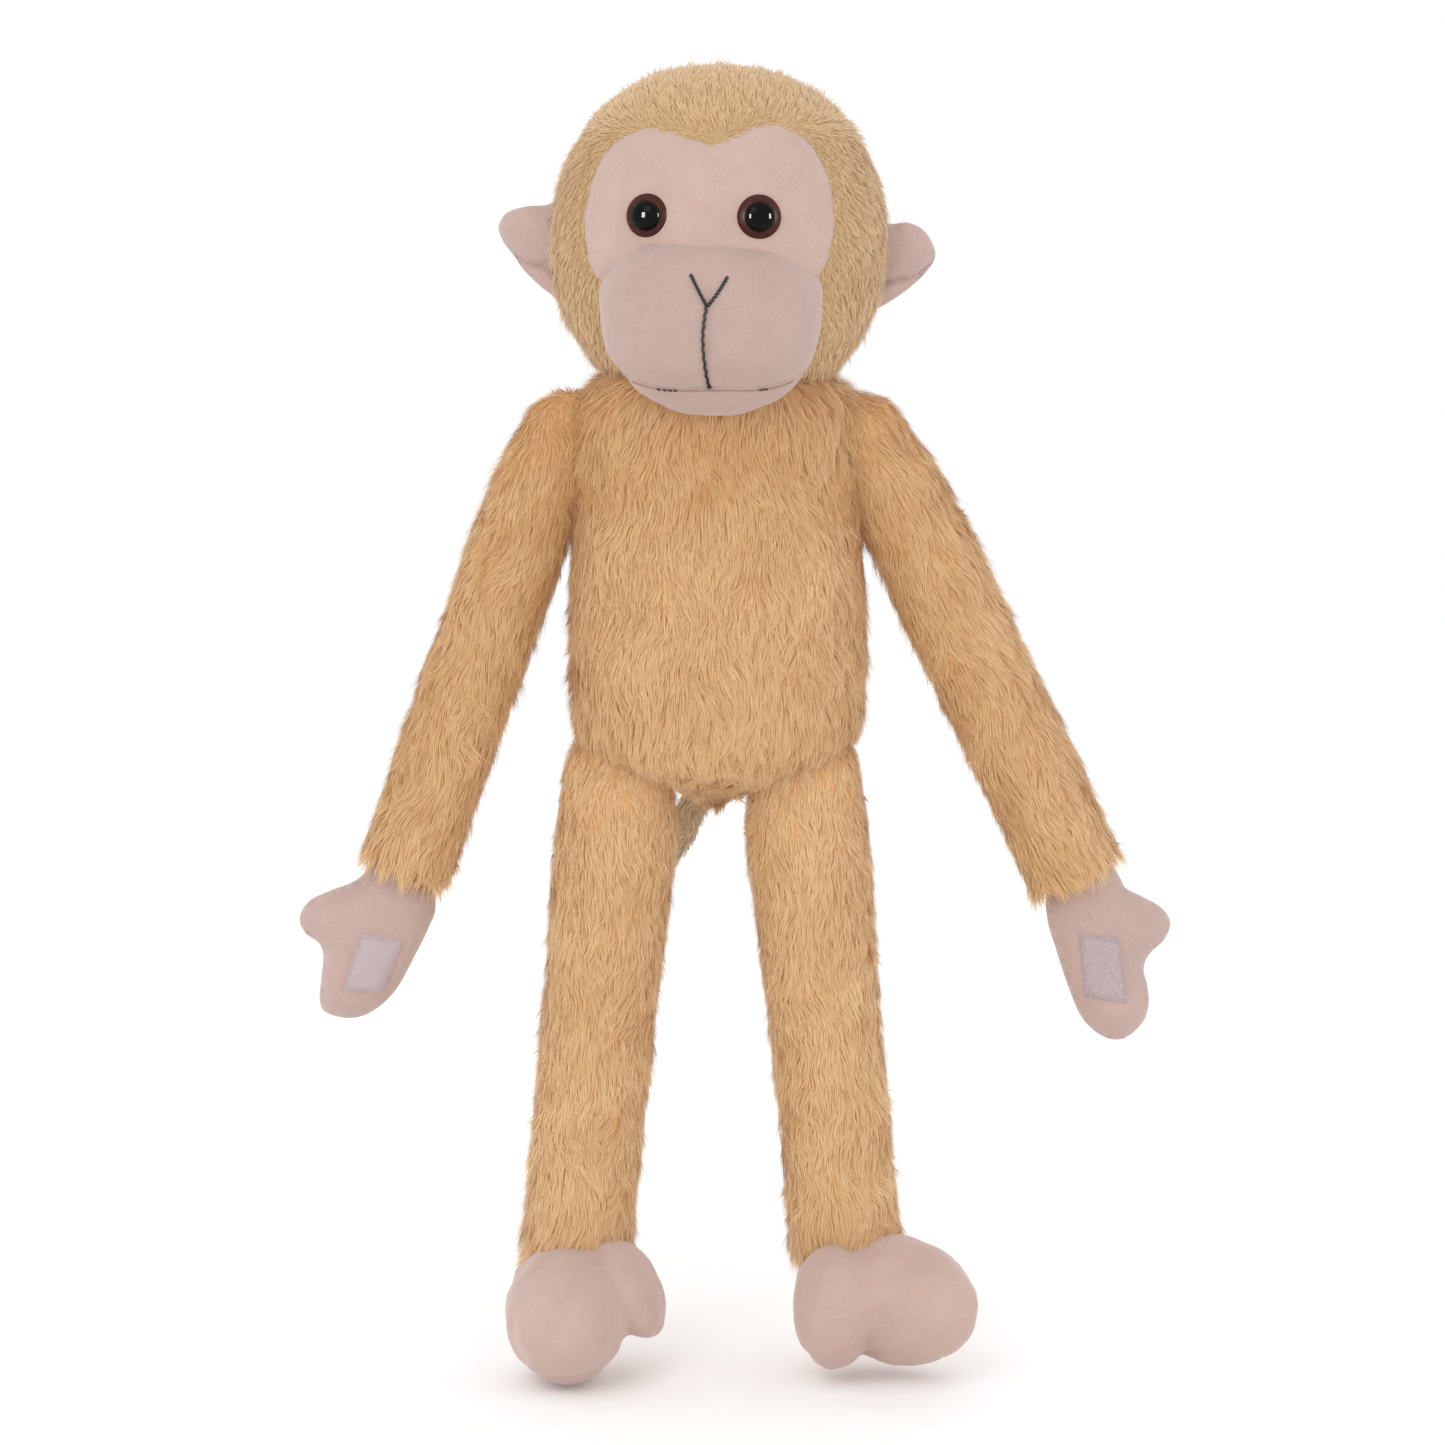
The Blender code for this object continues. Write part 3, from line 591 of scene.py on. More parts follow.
def fibre_object(name, verts, tone, normals):
    """The fibres as one mesh of five points each, shaded as the skin under them to keep the pile soft."""
    base = np.arange(len(tone))[:, None] * 5
    faces = (base[:, None, :] + np.array([[0, 1, 3], [0, 3, 2], [2, 3, 4]])[None]).reshape(-1, 3)
    mesh = bpy.data.meshes.new(name)
    mesh.vertices.add(len(verts))
    mesh.vertices.foreach_set("co", verts.ravel())
    mesh.loops.add(len(faces) * 3)
    mesh.loops.foreach_set("vertex_index", faces.ravel())
    mesh.polygons.add(len(faces))
    mesh.polygons.foreach_set("loop_start", np.arange(len(faces)) * 3)
    mesh.update(calc_edges=True)
    u = np.repeat(tone, 5) + np.tile([-0.02, 0.02, -0.02, 0.02, 0.0], len(tone))
    v = np.tile([0.02, 0.02, 0.5, 0.5, 0.98], len(tone))
    layer = mesh.uv_layers.new(name="OFBake")
    layer.data.foreach_set("uv", np.stack([u, v], 1)[faces.ravel()].ravel())
    mesh.shade_smooth()
    mesh.normals_split_custom_set_from_vertices(np.repeat(normals, 5, axis=0))
    made = linked(name, mesh)
    made.visible_shadow = False
    return made


def near_lines(points, lines, reach):
    """1 on any of the seam lines, drawn in the front view, and 0 beyond their reach."""
    found = np.zeros(len(points))
    flat = points[:, [0, 2]]
    for a, b in lines:
        a, b = np.array(a, float), np.array(b, float)
        t = np.clip(((flat - a) @ (b - a)) / ((b - a) @ (b - a)), 0, 1)
        away = np.linalg.norm(flat - (a + t[:, None] * (b - a)), axis=1)
        found = np.maximum(found, 1 - steps(away, 0, reach))
    return found


# ---------------- lofted skins


def loft(name, rings, around=64, matrix=TOY):
    """A closed skin through rings, each its centre and its two half axes as vectors."""
    verts, faces = [], strips(len(rings), around)
    angles = np.linspace(0, 2 * math.pi, around, endpoint=False)
    for centre, across, along in rings:
        for a in angles:
            spoke = math.cos(a) * np.array(across), math.sin(a) * np.array(along)
            verts.append(np.array(centre) + spoke[0] + spoke[1])
    for k, flip in ((0, True), (len(rings) - 1, False)):
        verts.append(np.array(rings[k][0]))
        last = len(verts) - 1
        for i in range(around):
            j = (i + 1) % around
            tri = (k * around + i, k * around + j, last)
            faces.append(tri[::-1] if flip else tri)
    return outward(mesh_object(name, verts, faces, matrix))


def strips(rings, around, first=0):
    """The faces between rings of points, counted from the first point."""
    faces = []
    for k in range(rings - 1):
        low, high = first + k * around, first + (k + 1) * around
        for i in range(around):
            j = (i + 1) % around
            faces.append((low + i, low + j, high + j, high + i))
    return faces


def edited(obj, change):
    """The object after a change to its mesh."""
    bm = bmesh.new()
    bm.from_mesh(obj.data)
    change(bm)
    bm.to_mesh(obj.data)
    bm.free()
    return obj


def outward(obj):
    """The object with its faces turned to face out."""
    return edited(obj, lambda bm: bmesh.ops.recalc_face_normals(bm, faces=bm.faces))


def drop_loose(obj):
    """The object without the points that no face uses."""
    return edited(obj, lambda bm: [bm.verts.remove(v) for v in list(bm.verts) if not v.link_faces])


def upright_rings(shape, depth, pile, y=0.0, count=56, least=1.5):
    """Level rings of a form that stands up, drawn in by the depth of the pile."""
    rings = []
    for z, r in spline(shape, count):
        rings.append(((0, y, z), (max(r - pile, least), 0, 0), (0, max(r * depth - pile, least), 0)))
    return rings


def turned_ring(centre, way, radius):
    """A round ring square to the way it faces, kept level with Y."""
    side = unit(np.cross(np.array(INWARD), unit(np.array(way, float))))
    return np.array(centre), side * radius, np.array(INWARD) * radius


# ---------------- sewn panels and threads


def filled(outline, pitch, count=150):
    """A flat triangle mesh inside an outline: its points, its triangles and how far each point is inside."""
    edge = spline(outline, count, closed=True)
    low, high = edge.min(0), edge.max(0)
    xs, zs = np.meshgrid(np.arange(low[0], high[0], pitch), np.arange(low[1], high[1], pitch))
    xs[::2] += pitch / 2
    grid = np.stack([xs.ravel(), zs.ravel()], 1)
    grid = grid[inside(grid, edge) & (edge_distance(grid, edge) > 0.55 * pitch)]
    points = np.vstack([edge, grid])
    ring = list(range(len(edge)))
    found = geometry.delaunay_2d_cdt([Vector(p) for p in points], [], [ring], 1, 1e-5)
    points = np.array([tuple(p) for p in found[0]])
    away = edge_distance(points, edge)
    away[away < 0.02] = 0.0
    return points, np.array(found[2]), away


def inside(points, edge):
    """Which points lie inside a closed outline."""
    a, b = edge, np.roll(edge, -1, 0)
    crossing = (a[None, :, 1] > points[:, None, 1]) != (b[None, :, 1] > points[:, None, 1])
    where = (b[:, 0] - a[:, 0]) * (points[:, None, 1] - a[:, 1]) / (b[:, 1] - a[:, 1] + 1e-12) + a[:, 0]
    return ((crossing & (points[:, None, 0] < where)).sum(1) % 2) == 1


def edge_distance(points, edge, closed=True):
    """How far each point is from an outline or a line."""
    a, b = (edge, np.roll(edge, -1, 0)) if closed else (edge[:-1], edge[1:])
    d = b - a
    t = np.clip(((points[:, None] - a) * d).sum(2) / (d * d).sum(1), 0, 1)
    return np.linalg.norm(points[:, None] - (a + t[:, :, None] * d), axis=2).min(1)


def puffed(points, tris, away, reach, sharp=2.0, rounds=10):
    """How far each point swells, from 0 on the edge to 1 in the middle, with its ridges smoothed out."""
    swell = (1 - (1 - np.clip(away / reach, 0, 1)) ** sharp) ** (1 / sharp)
    ends = np.concatenate([tris[:, [0, 1]], tris[:, [1, 2]], tris[:, [2, 0]]])
    degree = np.bincount(ends.ravel(), minlength=len(points)).astype(float)
    inner = steps(away, 0.5, 3.0)
    for _ in range(rounds):
        total = np.zeros(len(points))
        np.add.at(total, ends[:, 0], swell[ends[:, 1]])
        np.add.at(total, ends[:, 1], swell[ends[:, 0]])
        swell = swell + 0.6 * inner * (total / np.maximum(degree, 1) - swell)
    return swell


def face_front(obj):
    """Turns the faces of an open panel towards -Y."""
    outward(obj)
    if sum(p.normal.y * p.area for p in obj.data.polygons) > 0:
        obj.data.flip_normals()
    return obj


def tree_of(obj):
    points = [v.co.copy() for v in obj.data.vertices]
    return BVHTree.FromPolygons(points, [tuple(p.vertices) for p in obj.data.polygons])


def thread(name, points, radius, material, body, nodes=(), resolution=3):
    """A thread through points that are in metres."""
    curve = bpy.data.curves.new(name, "CURVE")
    curve.dimensions = "3D"
    curve.bevel_depth = radius * MM
    curve.bevel_resolution = resolution
    curve.use_fill_caps = True
    run = curve.splines.new("POLY")
    run.points.add(len(points) - 1)
    for point, at in zip(run.points, points):
        point.co = (*at, 1)
    return finish_piece(linked(name, curve), material, body, nodes=nodes)


# ---------------- head


def head_skin():
    made = loft("head_skin", upright_rings(HEAD_SHAPE, HEAD_DEPTH, HEAD_PILE, HEAD_Y), matrix=HEAD)
    return finish_piece(
        made, HEAD_BACKING, "head", nodes=("head_cover", "head_stuffing")
    )


def depth_on(tree, x, z, otherwise):
    """y of the front of a surface at (x, z), in the toy's millimetres."""
    hit = tree.ray_cast(TOY @ Vector((x, IN_FRONT, z)), INWARD)[0]
    return otherwise if hit is None else (hit.y - AXIS.y) / MM


def face(tree):
    """The face's panel: it lies on the head, full over the brows and drawn in round the eyes."""
    points, tris, away = filled(FACE, 1.3)
    y = np.array([depth_on(tree, x, z, -30.0) for x, z in points])
    y = y + 1.2 - 4.2 * puffed(points, tris, away, 9.0)
    for x, z in EYES.values():
        far = np.hypot(points[:, 0] - x, points[:, 1] - z)
        y += 2.2 * ridge(far, 13.0)
    y = y + 0.35 * waves(in_space(points), 24, 31) * steps(away, 1, 8)
    made = face_front(mesh_object("face", in_space(points, y), tris))
    return finish_piece(made, VELBOA, "head", nodes=("face_panel",))


def mouth_height(x):
    """How high the mouth's seam runs at x: nearly level in front and rising at the cheeks."""
    side = np.clip((np.abs(x + 1) - 14) / 26, 0, 2)
    return 410.0 + 8.0 * side**2.2


def muzzle():
    """One stuffed form sewn from a muzzle panel and a chin panel, which meet at the mouth."""
    edge = spline(MUZZLE_EDGE, 120, closed=True)
    turns = np.linspace(0.0, math.pi / 2, 46)[1:]
    rings = [(math.sin(a) ** 0.93, -MUZZLE_DEPTH * math.cos(a) ** 0.86) for a in turns]
    rings += [(1.0 - 0.02 * k, k * 7.0) for k in range(1, 6)]
    verts = [(MUZZLE_MIDDLE[0], MUZZLE_Y - MUZZLE_DEPTH, MUZZLE_MIDDLE[1])]
    for reach, behind in rings:
        verts += [(x, MUZZLE_Y + behind, z) for x, z in MUZZLE_MIDDLE + (edge - MUZZLE_MIDDLE) * reach]
    around = len(edge)
    faces = [(0, 1 + (i + 1) % around, 1 + i) for i in range(around)] + strips(len(rings), around, 1)
    verts = muzzle_tension(np.array(verts))
    centre = np.array([verts[list(f)].mean(0) for f in faces])
    above = centre[:, 2] > mouth_height(centre[:, 0])
    for name, keep, nodes in (("muzzle", above, ("muzzle_panel",)), ("chin", ~above, ("chin_panel",))):
        made = mesh_object(name, verts, [f for f, k in zip(faces, keep) if k])
        face_front(drop_loose(made))
        finish_piece(made, MUZZLE_CLOTH, "head", nodes=nodes)
    return mesh_object("whole_muzzle", verts, faces)


def muzzle_tension(verts):
    """Pulls the muzzle in along the mouth's seam and the nose's stitching, with the chin behind them."""
    x, y, z = verts.T
    front = steps(-y, -MUZZLE_Y - 6, -MUZZLE_Y + 8)
    seam = np.abs(z - mouth_height(x))
    fade = 1 - steps(np.abs(x + 1), 36, 44)
    crease = 2.8 * ridge(seam, 1.4) + 3.0 * ridge(seam, 6.0)
    line = 0.6 * ridge(x + 3, 1.6) + 1.3 * ridge(x + 3, 9.0)
    line *= steps(z, 406, 412) * (1 - steps(z, 444, 458))
    chin = 4.5 * steps(mouth_height(x) - z, 0, 3) * (1 - steps(np.abs(x + 1), 16, 38))
    inward = crease * fade + line + chin * front
    away = unit(verts - np.array((MUZZLE_MIDDLE[0], MUZZLE_Y, MUZZLE_MIDDLE[1])))
    verts = verts + np.array(INWARD) * (inward * front)[:, None]
    verts = verts - away * (0.3 * crease * fade * front)[:, None]
    return verts + away * (0.45 * waves(verts, 24, 41) + 0.12 * waves(verts, 7, 42))[:, None]


def ears():
    """Two layers of cloth for each ear, with a groove along the fold and a lip above it."""
    for side, (outline, fold, tilt) in EARS.items():
        place = TOY @ Matrix.Translation((0, EAR_Y, 0))
        points, tris, away = filled(outline, 1.1)
        swell = puffed(points, tris, away, 7.0, rounds=6)
        line = spline(fold, 24)
        near = edge_distance(points, line, closed=False)
        below = points[:, 1] < np.interp(points[:, 0], line[:, 0], line[:, 1])
        groove = 2.6 * ridge(near, 1.5) + 1.0 * ridge(near, 5.0)
        lip = 1.6 * ridge(near, 5.0) * (1 - below)
        soft = 0.25 * waves(in_space(points), 11, 51) * steps(away, 1, 5)
        out = np.abs(points[:, 0]) - EAR_BEND_FROM
        bend = 0.012 * out**2 + tilt * out
        rim = away == 0
        front = np.where(rim, 0, -(swell * 4.6) + groove - lip + soft) + bend
        rear = np.where(rim, 0, swell * 3.2 - 0.5 * groove) + bend
        made = two_layers(f"{side}_ear", points, tris, rim, front, rear, place)
        finish_piece(made, SOFT_CLOTH, "head", nodes=(f"{side}_ear",))


def two_layers(name, points, tris, rim, front, rear, place):
    """Two layers of cloth sewn together at their rim."""
    count = len(points)
    fresh = np.flatnonzero(~rim)
    index = np.arange(count)
    index[fresh] = count + np.arange(len(fresh))
    verts = np.vstack([in_space(points, front), in_space(points[fresh], rear[fresh])])
    return outward(mesh_object(name, verts, np.vstack([tris, index[tris][:, ::-1]]), place))


def dome(name, radius, rise, matrix, base, around=48, rings=12):
    """A round button, domed towards -Y, with a short side down to its base."""
    verts = [(0, -rise, 0)]
    levels = [(math.sin(a), math.cos(a)) for a in np.linspace(0, math.pi / 2, rings + 1)[1:]]
    levels.append((1.0, -base / rise))
    for reach, high in levels:
        for a in np.linspace(0, 2 * math.pi, around, endpoint=False):
            verts.append((radius * reach * math.cos(a), -rise * high, radius * reach * math.sin(a)))
    faces = [(0, 1 + (i + 1) % around, 1 + i) for i in range(around)] + strips(len(levels), around, 1)
    faces.append(range(len(verts) - around, len(verts)))
    return outward(mesh_object(name, verts, faces, matrix))


def eyes(face_tree):
    """Two domed buttons a side, brown round black, turned to lie on the face."""
    reach = EYE_R - 2
    for side, (x, z) in EYES.items():
        y = depth_on(face_tree, x, z, -66.0)
        slope = depth_on(face_tree, x + reach, z, y) - depth_on(face_tree, x - reach, z, y)
        turn = math.atan2(slope, 2 * reach) * 0.8
        place = TOY @ Matrix.Translation((x, y + 0.6, z)) @ Matrix.Rotation(turn, 4, "Z")
        rim = dome(f"{side}_eye_rim", EYE_R, EYE_RISE, place, 2.0)
        finish_piece(rim, IRIS, "head", nodes=(f"{side}_eye",))
        ahead = place @ Matrix.Translation((0, -PUPIL_AHEAD, 0))
        finish_piece(dome(f"{side}_pupil", PUPIL_R, PUPIL_RISE, ahead, 1.0), PUPIL, "head")


def on_front(tree, points, lift, matrix=TOY):
    """Front-view points laid on a surface and lifted off it, in metres."""
    found = []
    for x, z in points:
        hit, normal, _, _ = tree.ray_cast(matrix @ Vector((x, IN_FRONT, z)), INWARD)
        if hit is not None:
            found.append(hit + (normal if normal.y < 0 else -normal) * lift * MM)
    return found


def twisted(points, radius, pitch):
    """A two-ply thread's plies, as a slight wobble round the run of points."""
    points = [Vector(p) for p in points]
    found = []
    for k, p in enumerate(points):
        along = (points[min(k + 1, len(points) - 1)] - points[max(k - 1, 0)]).normalized()
        side = along.cross(INWARD).normalized()
        angle = k * pitch
        found.append(p + (side * math.cos(angle) + INWARD * math.sin(angle)) * radius * MM)
    return found


def nose_and_mouth(tree):
    runs = {"nose_left": NOSE_ARMS[0], "nose_right": NOSE_ARMS[1], "nose_stem": NOSE_STEM}
    for k, (name, run) in enumerate(runs.items()):
        points = twisted(on_front(tree, spline(run, 60), 0.45), 0.2, 1.1)
        thread(name, points, NOSE_THREAD, THREAD, "head", nodes=("nose_stitching",) if k == 0 else ())
    knot = on_front(tree, [NOSE_STEM[-1]], 0.3)[0]
    ends = [knot + Vector((-0.8, 0, 0)) * MM, knot + Vector((0.9, 0, -0.3)) * MM]
    thread("mouth_knot", ends, KNOT_THREAD, THREAD, "head")
    line = on_front(tree, [(x, mouth_height(np.array(x)) - 0.1) for x in np.linspace(-33, 31, 90)], 0.1)
    thread("mouth_seam", line, MOUTH_THREAD, SEAM, "head", ("mouth_stitching",))
    for k, x in enumerate(MOUTH_STITCHES):
        ends = [(x, mouth_height(np.array(x)) + 0.3), (x + 1.3, mouth_height(np.array(x + 1.3)) + 0.1)]
        thread(f"mouth_stitch_{k}", on_front(tree, ends, 0.5), STITCH_THREAD, THREAD, "head")


# ---------------- hands and feet


def hand(side):
    """A flat mitten of two layers, puckered along its seam and pressed in round the patch."""
    points, tris, away = filled(HAND[side], 1.2)
    swell = puffed(points, tris, away, 14.0, rounds=14)
    flat = in_space(points)
    tip = 1 - steps(points[:, 1], 165, 185)
    pucker = (0.3 + 0.4 * tip) * waves(flat, 5.0, 61 + SIDES[side])
    pucker = pucker * np.exp(-away / 3.5) * steps(away, 0, 1.0)
    soft = 0.4 * waves(flat, 16, 65 + SIDES[side]) * steps(away, 2, 8)
    sewn = edge_distance(points, np.array(PATCH_EDGE[side], float))
    soft += 0.9 * ridge(sewn, 2.2)
    rim = away == 0
    front = np.where(rim, 0, -(swell * 11.5) + pucker + soft)
    rear = np.where(rim, 0, swell * 11.0 + pucker)
    nodes = (f"{side}_hand_cover", f"{side}_hand_stuffing")
    made = two_layers(f"{side}_hand", points, tris, rim, front, rear, HANDS)
    finish_piece(made, SOFT_CLOTH, f"{side}_hand", nodes=nodes)
    patch(side, tree_of(made))


def patch(side, tree):
    """The sewn hook-and-loop patch, lying on the palm, and the stitches round its edge."""
    edge = rounded_corners([Vector(p) for p in PATCH_EDGE[side]])
    points, tris, away = filled(edge, 0.7, 96)
    lift = 1.0 * steps(away, 0, 1.0) - 0.25 * ridge(away - 1.7, 0.5) - 0.1
    verts = []
    for (x, z), up in zip(points, lift):
        hit, normal, _, _ = tree.ray_cast(HANDS @ Vector((x, -60, z)), INWARD)
        verts.append(hit + normal * up * MM)
    made = face_front(mesh_object(f"{side}_patch", verts, tris, Matrix()))
    finish_piece(made, PATCHES[side], f"{side}_hand", nodes=(f"{side}_palm_patch",))
    around = spline(edge, PATCH_STITCHES, closed=True)
    middle = around.mean(0)
    around = middle + (around - middle) * 0.88
    for k in range(0, PATCH_STITCHES, 2):
        run = on_front(tree, [around[k], around[(k + 1) % PATCH_STITCHES]], 0.85, HANDS)
        name = f"{side}_patch_stitch_{k}"
        thread(name, run, PATCH_THREAD, PATCHES[side], f"{side}_hand", (), 1)


def rounded_corners(corners):
    """A patch's outline with its corners cut round."""
    edge = []
    for k, corner in enumerate(corners):
        side = corners[(k + 1) % len(corners)] - corner
        ahead, behind = side.normalized(), (corners[k - 1] - corner).normalized()
        edge += [corner + behind * 1.4, corner + (ahead + behind) * 0.4, corner + ahead * 1.4]
        edge += [corner + side * t for t in (0.3, 0.5, 0.7)]
    return [tuple(p) for p in edge]


def ball(centre, size, turn, lean):
    """An ellipsoid, leant about Y and then turned about Z, in degrees."""
    bm = bmesh.new()
    bmesh.ops.create_uvsphere(bm, u_segments=48, v_segments=32, radius=1.0)
    pose = Matrix.Rotation(math.radians(turn), 4, "Z") @ Matrix.Rotation(math.radians(lean), 4, "Y")
    bm.transform(Matrix.Translation(centre) @ pose @ Matrix.Diagonal((*size, 1)))
    return bm


def joined(name, meshes, place, voxel, rounds):
    """Overlapping forms made one smooth skin."""
    whole = bpy.data.meshes.new(name)
    target = bmesh.new()
    for bm in meshes:
        part = bpy.data.meshes.new("part")
        bm.to_mesh(part)
        target.from_mesh(part)
        bpy.data.meshes.remove(part)
        bm.free()
    target.to_mesh(whole)
    target.free()
    whole.transform(place)
    made = linked(name, whole)
    remesh = made.modifiers.new("remesh", "REMESH")
    remesh.mode = "VOXEL"
    remesh.voxel_size = voxel * MM
    soften = made.modifiers.new("soften", "SMOOTH")
    soften.factor = 0.5
    soften.iterations = rounds
    return applied(made)


def applied(obj):
    """The piece with its modifiers applied."""
    graph = bpy.context.evaluated_depsgraph_get()
    graph.update()
    mesh = bpy.data.meshes.new_from_object(obj.evaluated_get(graph))
    obj.modifiers.clear()
    obj.data = mesh
    mesh.shade_smooth()
    return obj


def foot(side):
    """One smooth form over the foot's lobes, drawn in along the sole's seam and flat on the ground."""
    made = joined(f"{side}_foot", [ball(*lobe) for lobe in FOOT_LOBES[side]], TOY, 1.5, 20)
    points, normals = points_of(made.data)
    points = to_toy(points)
    points = points - normals * foot_creases(side, points)[:, None]
    points += normals * (0.4 * waves(points, 18, 71) + 0.12 * waves(points, 6, 72))[:, None]
    points[:, 2] = np.maximum(points[:, 2], 0.05)
    made.data.vertices.foreach_set("co", to_row(points).ravel())
    made.data.update()
    split_sole(side, made, points)


def foot_creases(side, points):
    """How far the cloth is drawn in along the seam between the foot's upper and its sole."""
    away = np.abs(points[:, 2] - seam_height(side, points))
    return 0.5 * ridge(away, 0.8) + 0.3 * ridge(away, 3.0)


def seam_height(side, points):
    return SOLE_SEAM[side] + 1.5 * np.sin(points[:, 0] / 9.0)


def split_sole(side, obj, points):
    """The foot as two pieces that meet at the seam: the upper and the sole."""
    faces = [tuple(p.vertices) for p in obj.data.polygons]
    height = points[:, 2] - seam_height(side, points)
    under = np.array([height[list(f)].mean() < 0 for f in faces])
    verts = [v.co.copy() for v in obj.data.vertices]
    bpy.data.objects.remove(obj, do_unlink=True)
    upper = (f"{side}_foot", ~under, (f"{side}_foot_cover", f"{side}_foot_stuffing"))
    sole = (f"{side}_sole_pad", under, (f"{side}_sole",))
    for name, keep, nodes in (upper, sole):
        made = drop_loose(mesh_object(name, verts, [f for f, k in zip(faces, keep) if k], Matrix()))
        finish_piece(made, VELBOA, f"{side}_foot", nodes=nodes)


# ---------------- furred parts


def limb_skin(side, limb, top, way, length):
    """A sleeve's backing from the rounded top at its first joint to its cuff."""
    radius, height, full = TOP_BALL[limb]
    widen, bow, lean = WIDEN[side, limb], BOW[side, limb], TOP_LEAN[side, limb]
    top = np.array(top)
    out = np.array((1.0, 0, 0)) * np.sign(way[0])
    rings = []
    for a in np.linspace(-math.pi / 2 + 0.08, 0, 12, endpoint=False):
        r = (radius + widen - BODY_PILE) * math.cos(a) ** full
        at = top + way * (height - BODY_PILE) * math.sin(a) + np.array((lean * math.sin(a) ** 2, 0, 0))
        rings.append(turned_ring(at + out * bow[1][0], way, r))
    for t, r in spline(LIMBS[limb][2], 60):
        at = top + way * length * t + out * np.interp(t, *bow)
        rings.append(turned_ring(at, way, r + widen - BODY_PILE))
    return loft(f"{side}_{limb}_skin", rings, 48)


def sleeve(side, limb):
    """A furred sleeve over both bodies of the limb. Its pile is longer at the cuff, as a fringe."""
    (top_joint, bend_joint, low_joint), body_names, _, cuff = LIMBS[limb]
    bodies = tuple(f"{side}_{body}" for body in body_names)
    top, low = joint_at(f"{side}_{top_joint}"), joint_at(f"{side}_{low_joint}")
    way = unit(np.array(low - top, float))
    length = (low - top).length
    start = np.array(top)
    skin = limb_skin(side, limb, top, way, length)
    joint = joint_at(f"{side}_{bend_joint}")
    blend = (*bodies, TOY @ (joint - Vector(way) * BEND_REACH), TOY @ (joint + Vector(way) * BEND_REACH))
    nodes = [f"{body}_{part}" for body in bodies for part in ("cover", "stuffing")]

    def along(points):
        return ((points - start) @ way) / length

    def comb(points, normals):
        flare = steps(along(points), 0.9, 1.0)[:, None]
        return np.tile(way, (len(points), 1)) + 0.10 * flare * normals

    def keep(points, normals):
        share = 0.6 + 0.4 * steps(along(points), -0.10, 0.10) - 0.3 * parted(points, normals, 3.0)
        return (1 + 0.35 * steps(along(points), cuff - 0.08, 1.0)) * share

    def shade(points, normals):
        # pit is painted shade in the armpit; on arms, shoulder is the head's painted shadow near the top on
        # a plain darker tone, and on legs a plain lighter tone; down also lightens towards the cuff;
        # partings get painted shade
        place = along(points)
        inner = steps(-(points[:, 0] - start[0]) * SIDES[side] - 2, 0, 16) if limb == "arm" else 0
        pit = -0.35 * inner * (1 - steps(place, 0.25, 0.6))
        shoulder = 0.22 * (1 - steps(place, -0.05, 0.25)) + 0.16 if limb == "arm" else -0.08
        down = 0.10 * steps(place, 0.5, 1.0) - shoulder
        return pit + down - 0.5 * parted(points, normals, 4.5)

    fur = grow(f"{side}_{limb}_fur", skin, LIMB_DENSITY, LIMB_FUR, comb, FUR_SEED[side], keep, shade)
    finish_piece(skin, BACKING, blend=blend, nodes=nodes)
    finish_piece(fur, BODY_FUR, blend=blend)


def parted(points, normals, reach):
    """1 where the pile parts in front and its deep orange roots show, and 0 away from there. The pile is
    darker there with painted shade.
    """
    return near_lines(points, PARTINGS, reach) * (normals[:, 1] < -0.1)


def torso():
    """The furred body, combed down, with its seams and partings pressed into the pile and darkened with
    painted shade.
    """
    skin = loft("torso_skin", upright_rings(TORSO_SHAPE, TORSO_DEPTH, BODY_PILE), matrix=TORSO)

    def comb(points, normals):
        way = np.tile(DOWN, (len(points), 1))
        way[:, 0] += 0.004 * points[:, 0] * (points[:, 2] > 330)
        return way

    def keep(points, normals):
        seam = near_lines(points, TORSO_SEAMS, 5.0) * (normals[:, 1] < 0.2)
        return 1 - 0.55 * seam - 0.3 * parted(points, normals, 3.0)

    def shade(points, normals):
        # painted shade along the seams and partings, on the upper sides by the arms and on the underside,
        # and the head's painted shadow high on the chest, on a plain darker tone
        seam = near_lines(points, TORSO_SEAMS, 7.0) * (normals[:, 1] < 0.2)
        sides = steps(np.abs(points[:, 0]), 48, 60) * (points[:, 2] > 330)
        under = steps(-points[:, 2], -262, -246)
        high = steps(points[:, 2], 335, 395)
        parting = parted(points, normals, 5.0)
        return -0.07 - 0.45 * seam - 0.25 * sides - 0.1 * under - 0.28 * high - 0.45 * parting

    fur = grow("torso_fur", skin, 1.35, 11.0, comb, FUR_SEED["torso"], keep, shade)
    nodes = ("torso_cover", "torso_stuffing")
    finish_piece(skin, BACKING, "torso", nodes=nodes)
    finish_piece(fur, BODY_FUR, "torso")


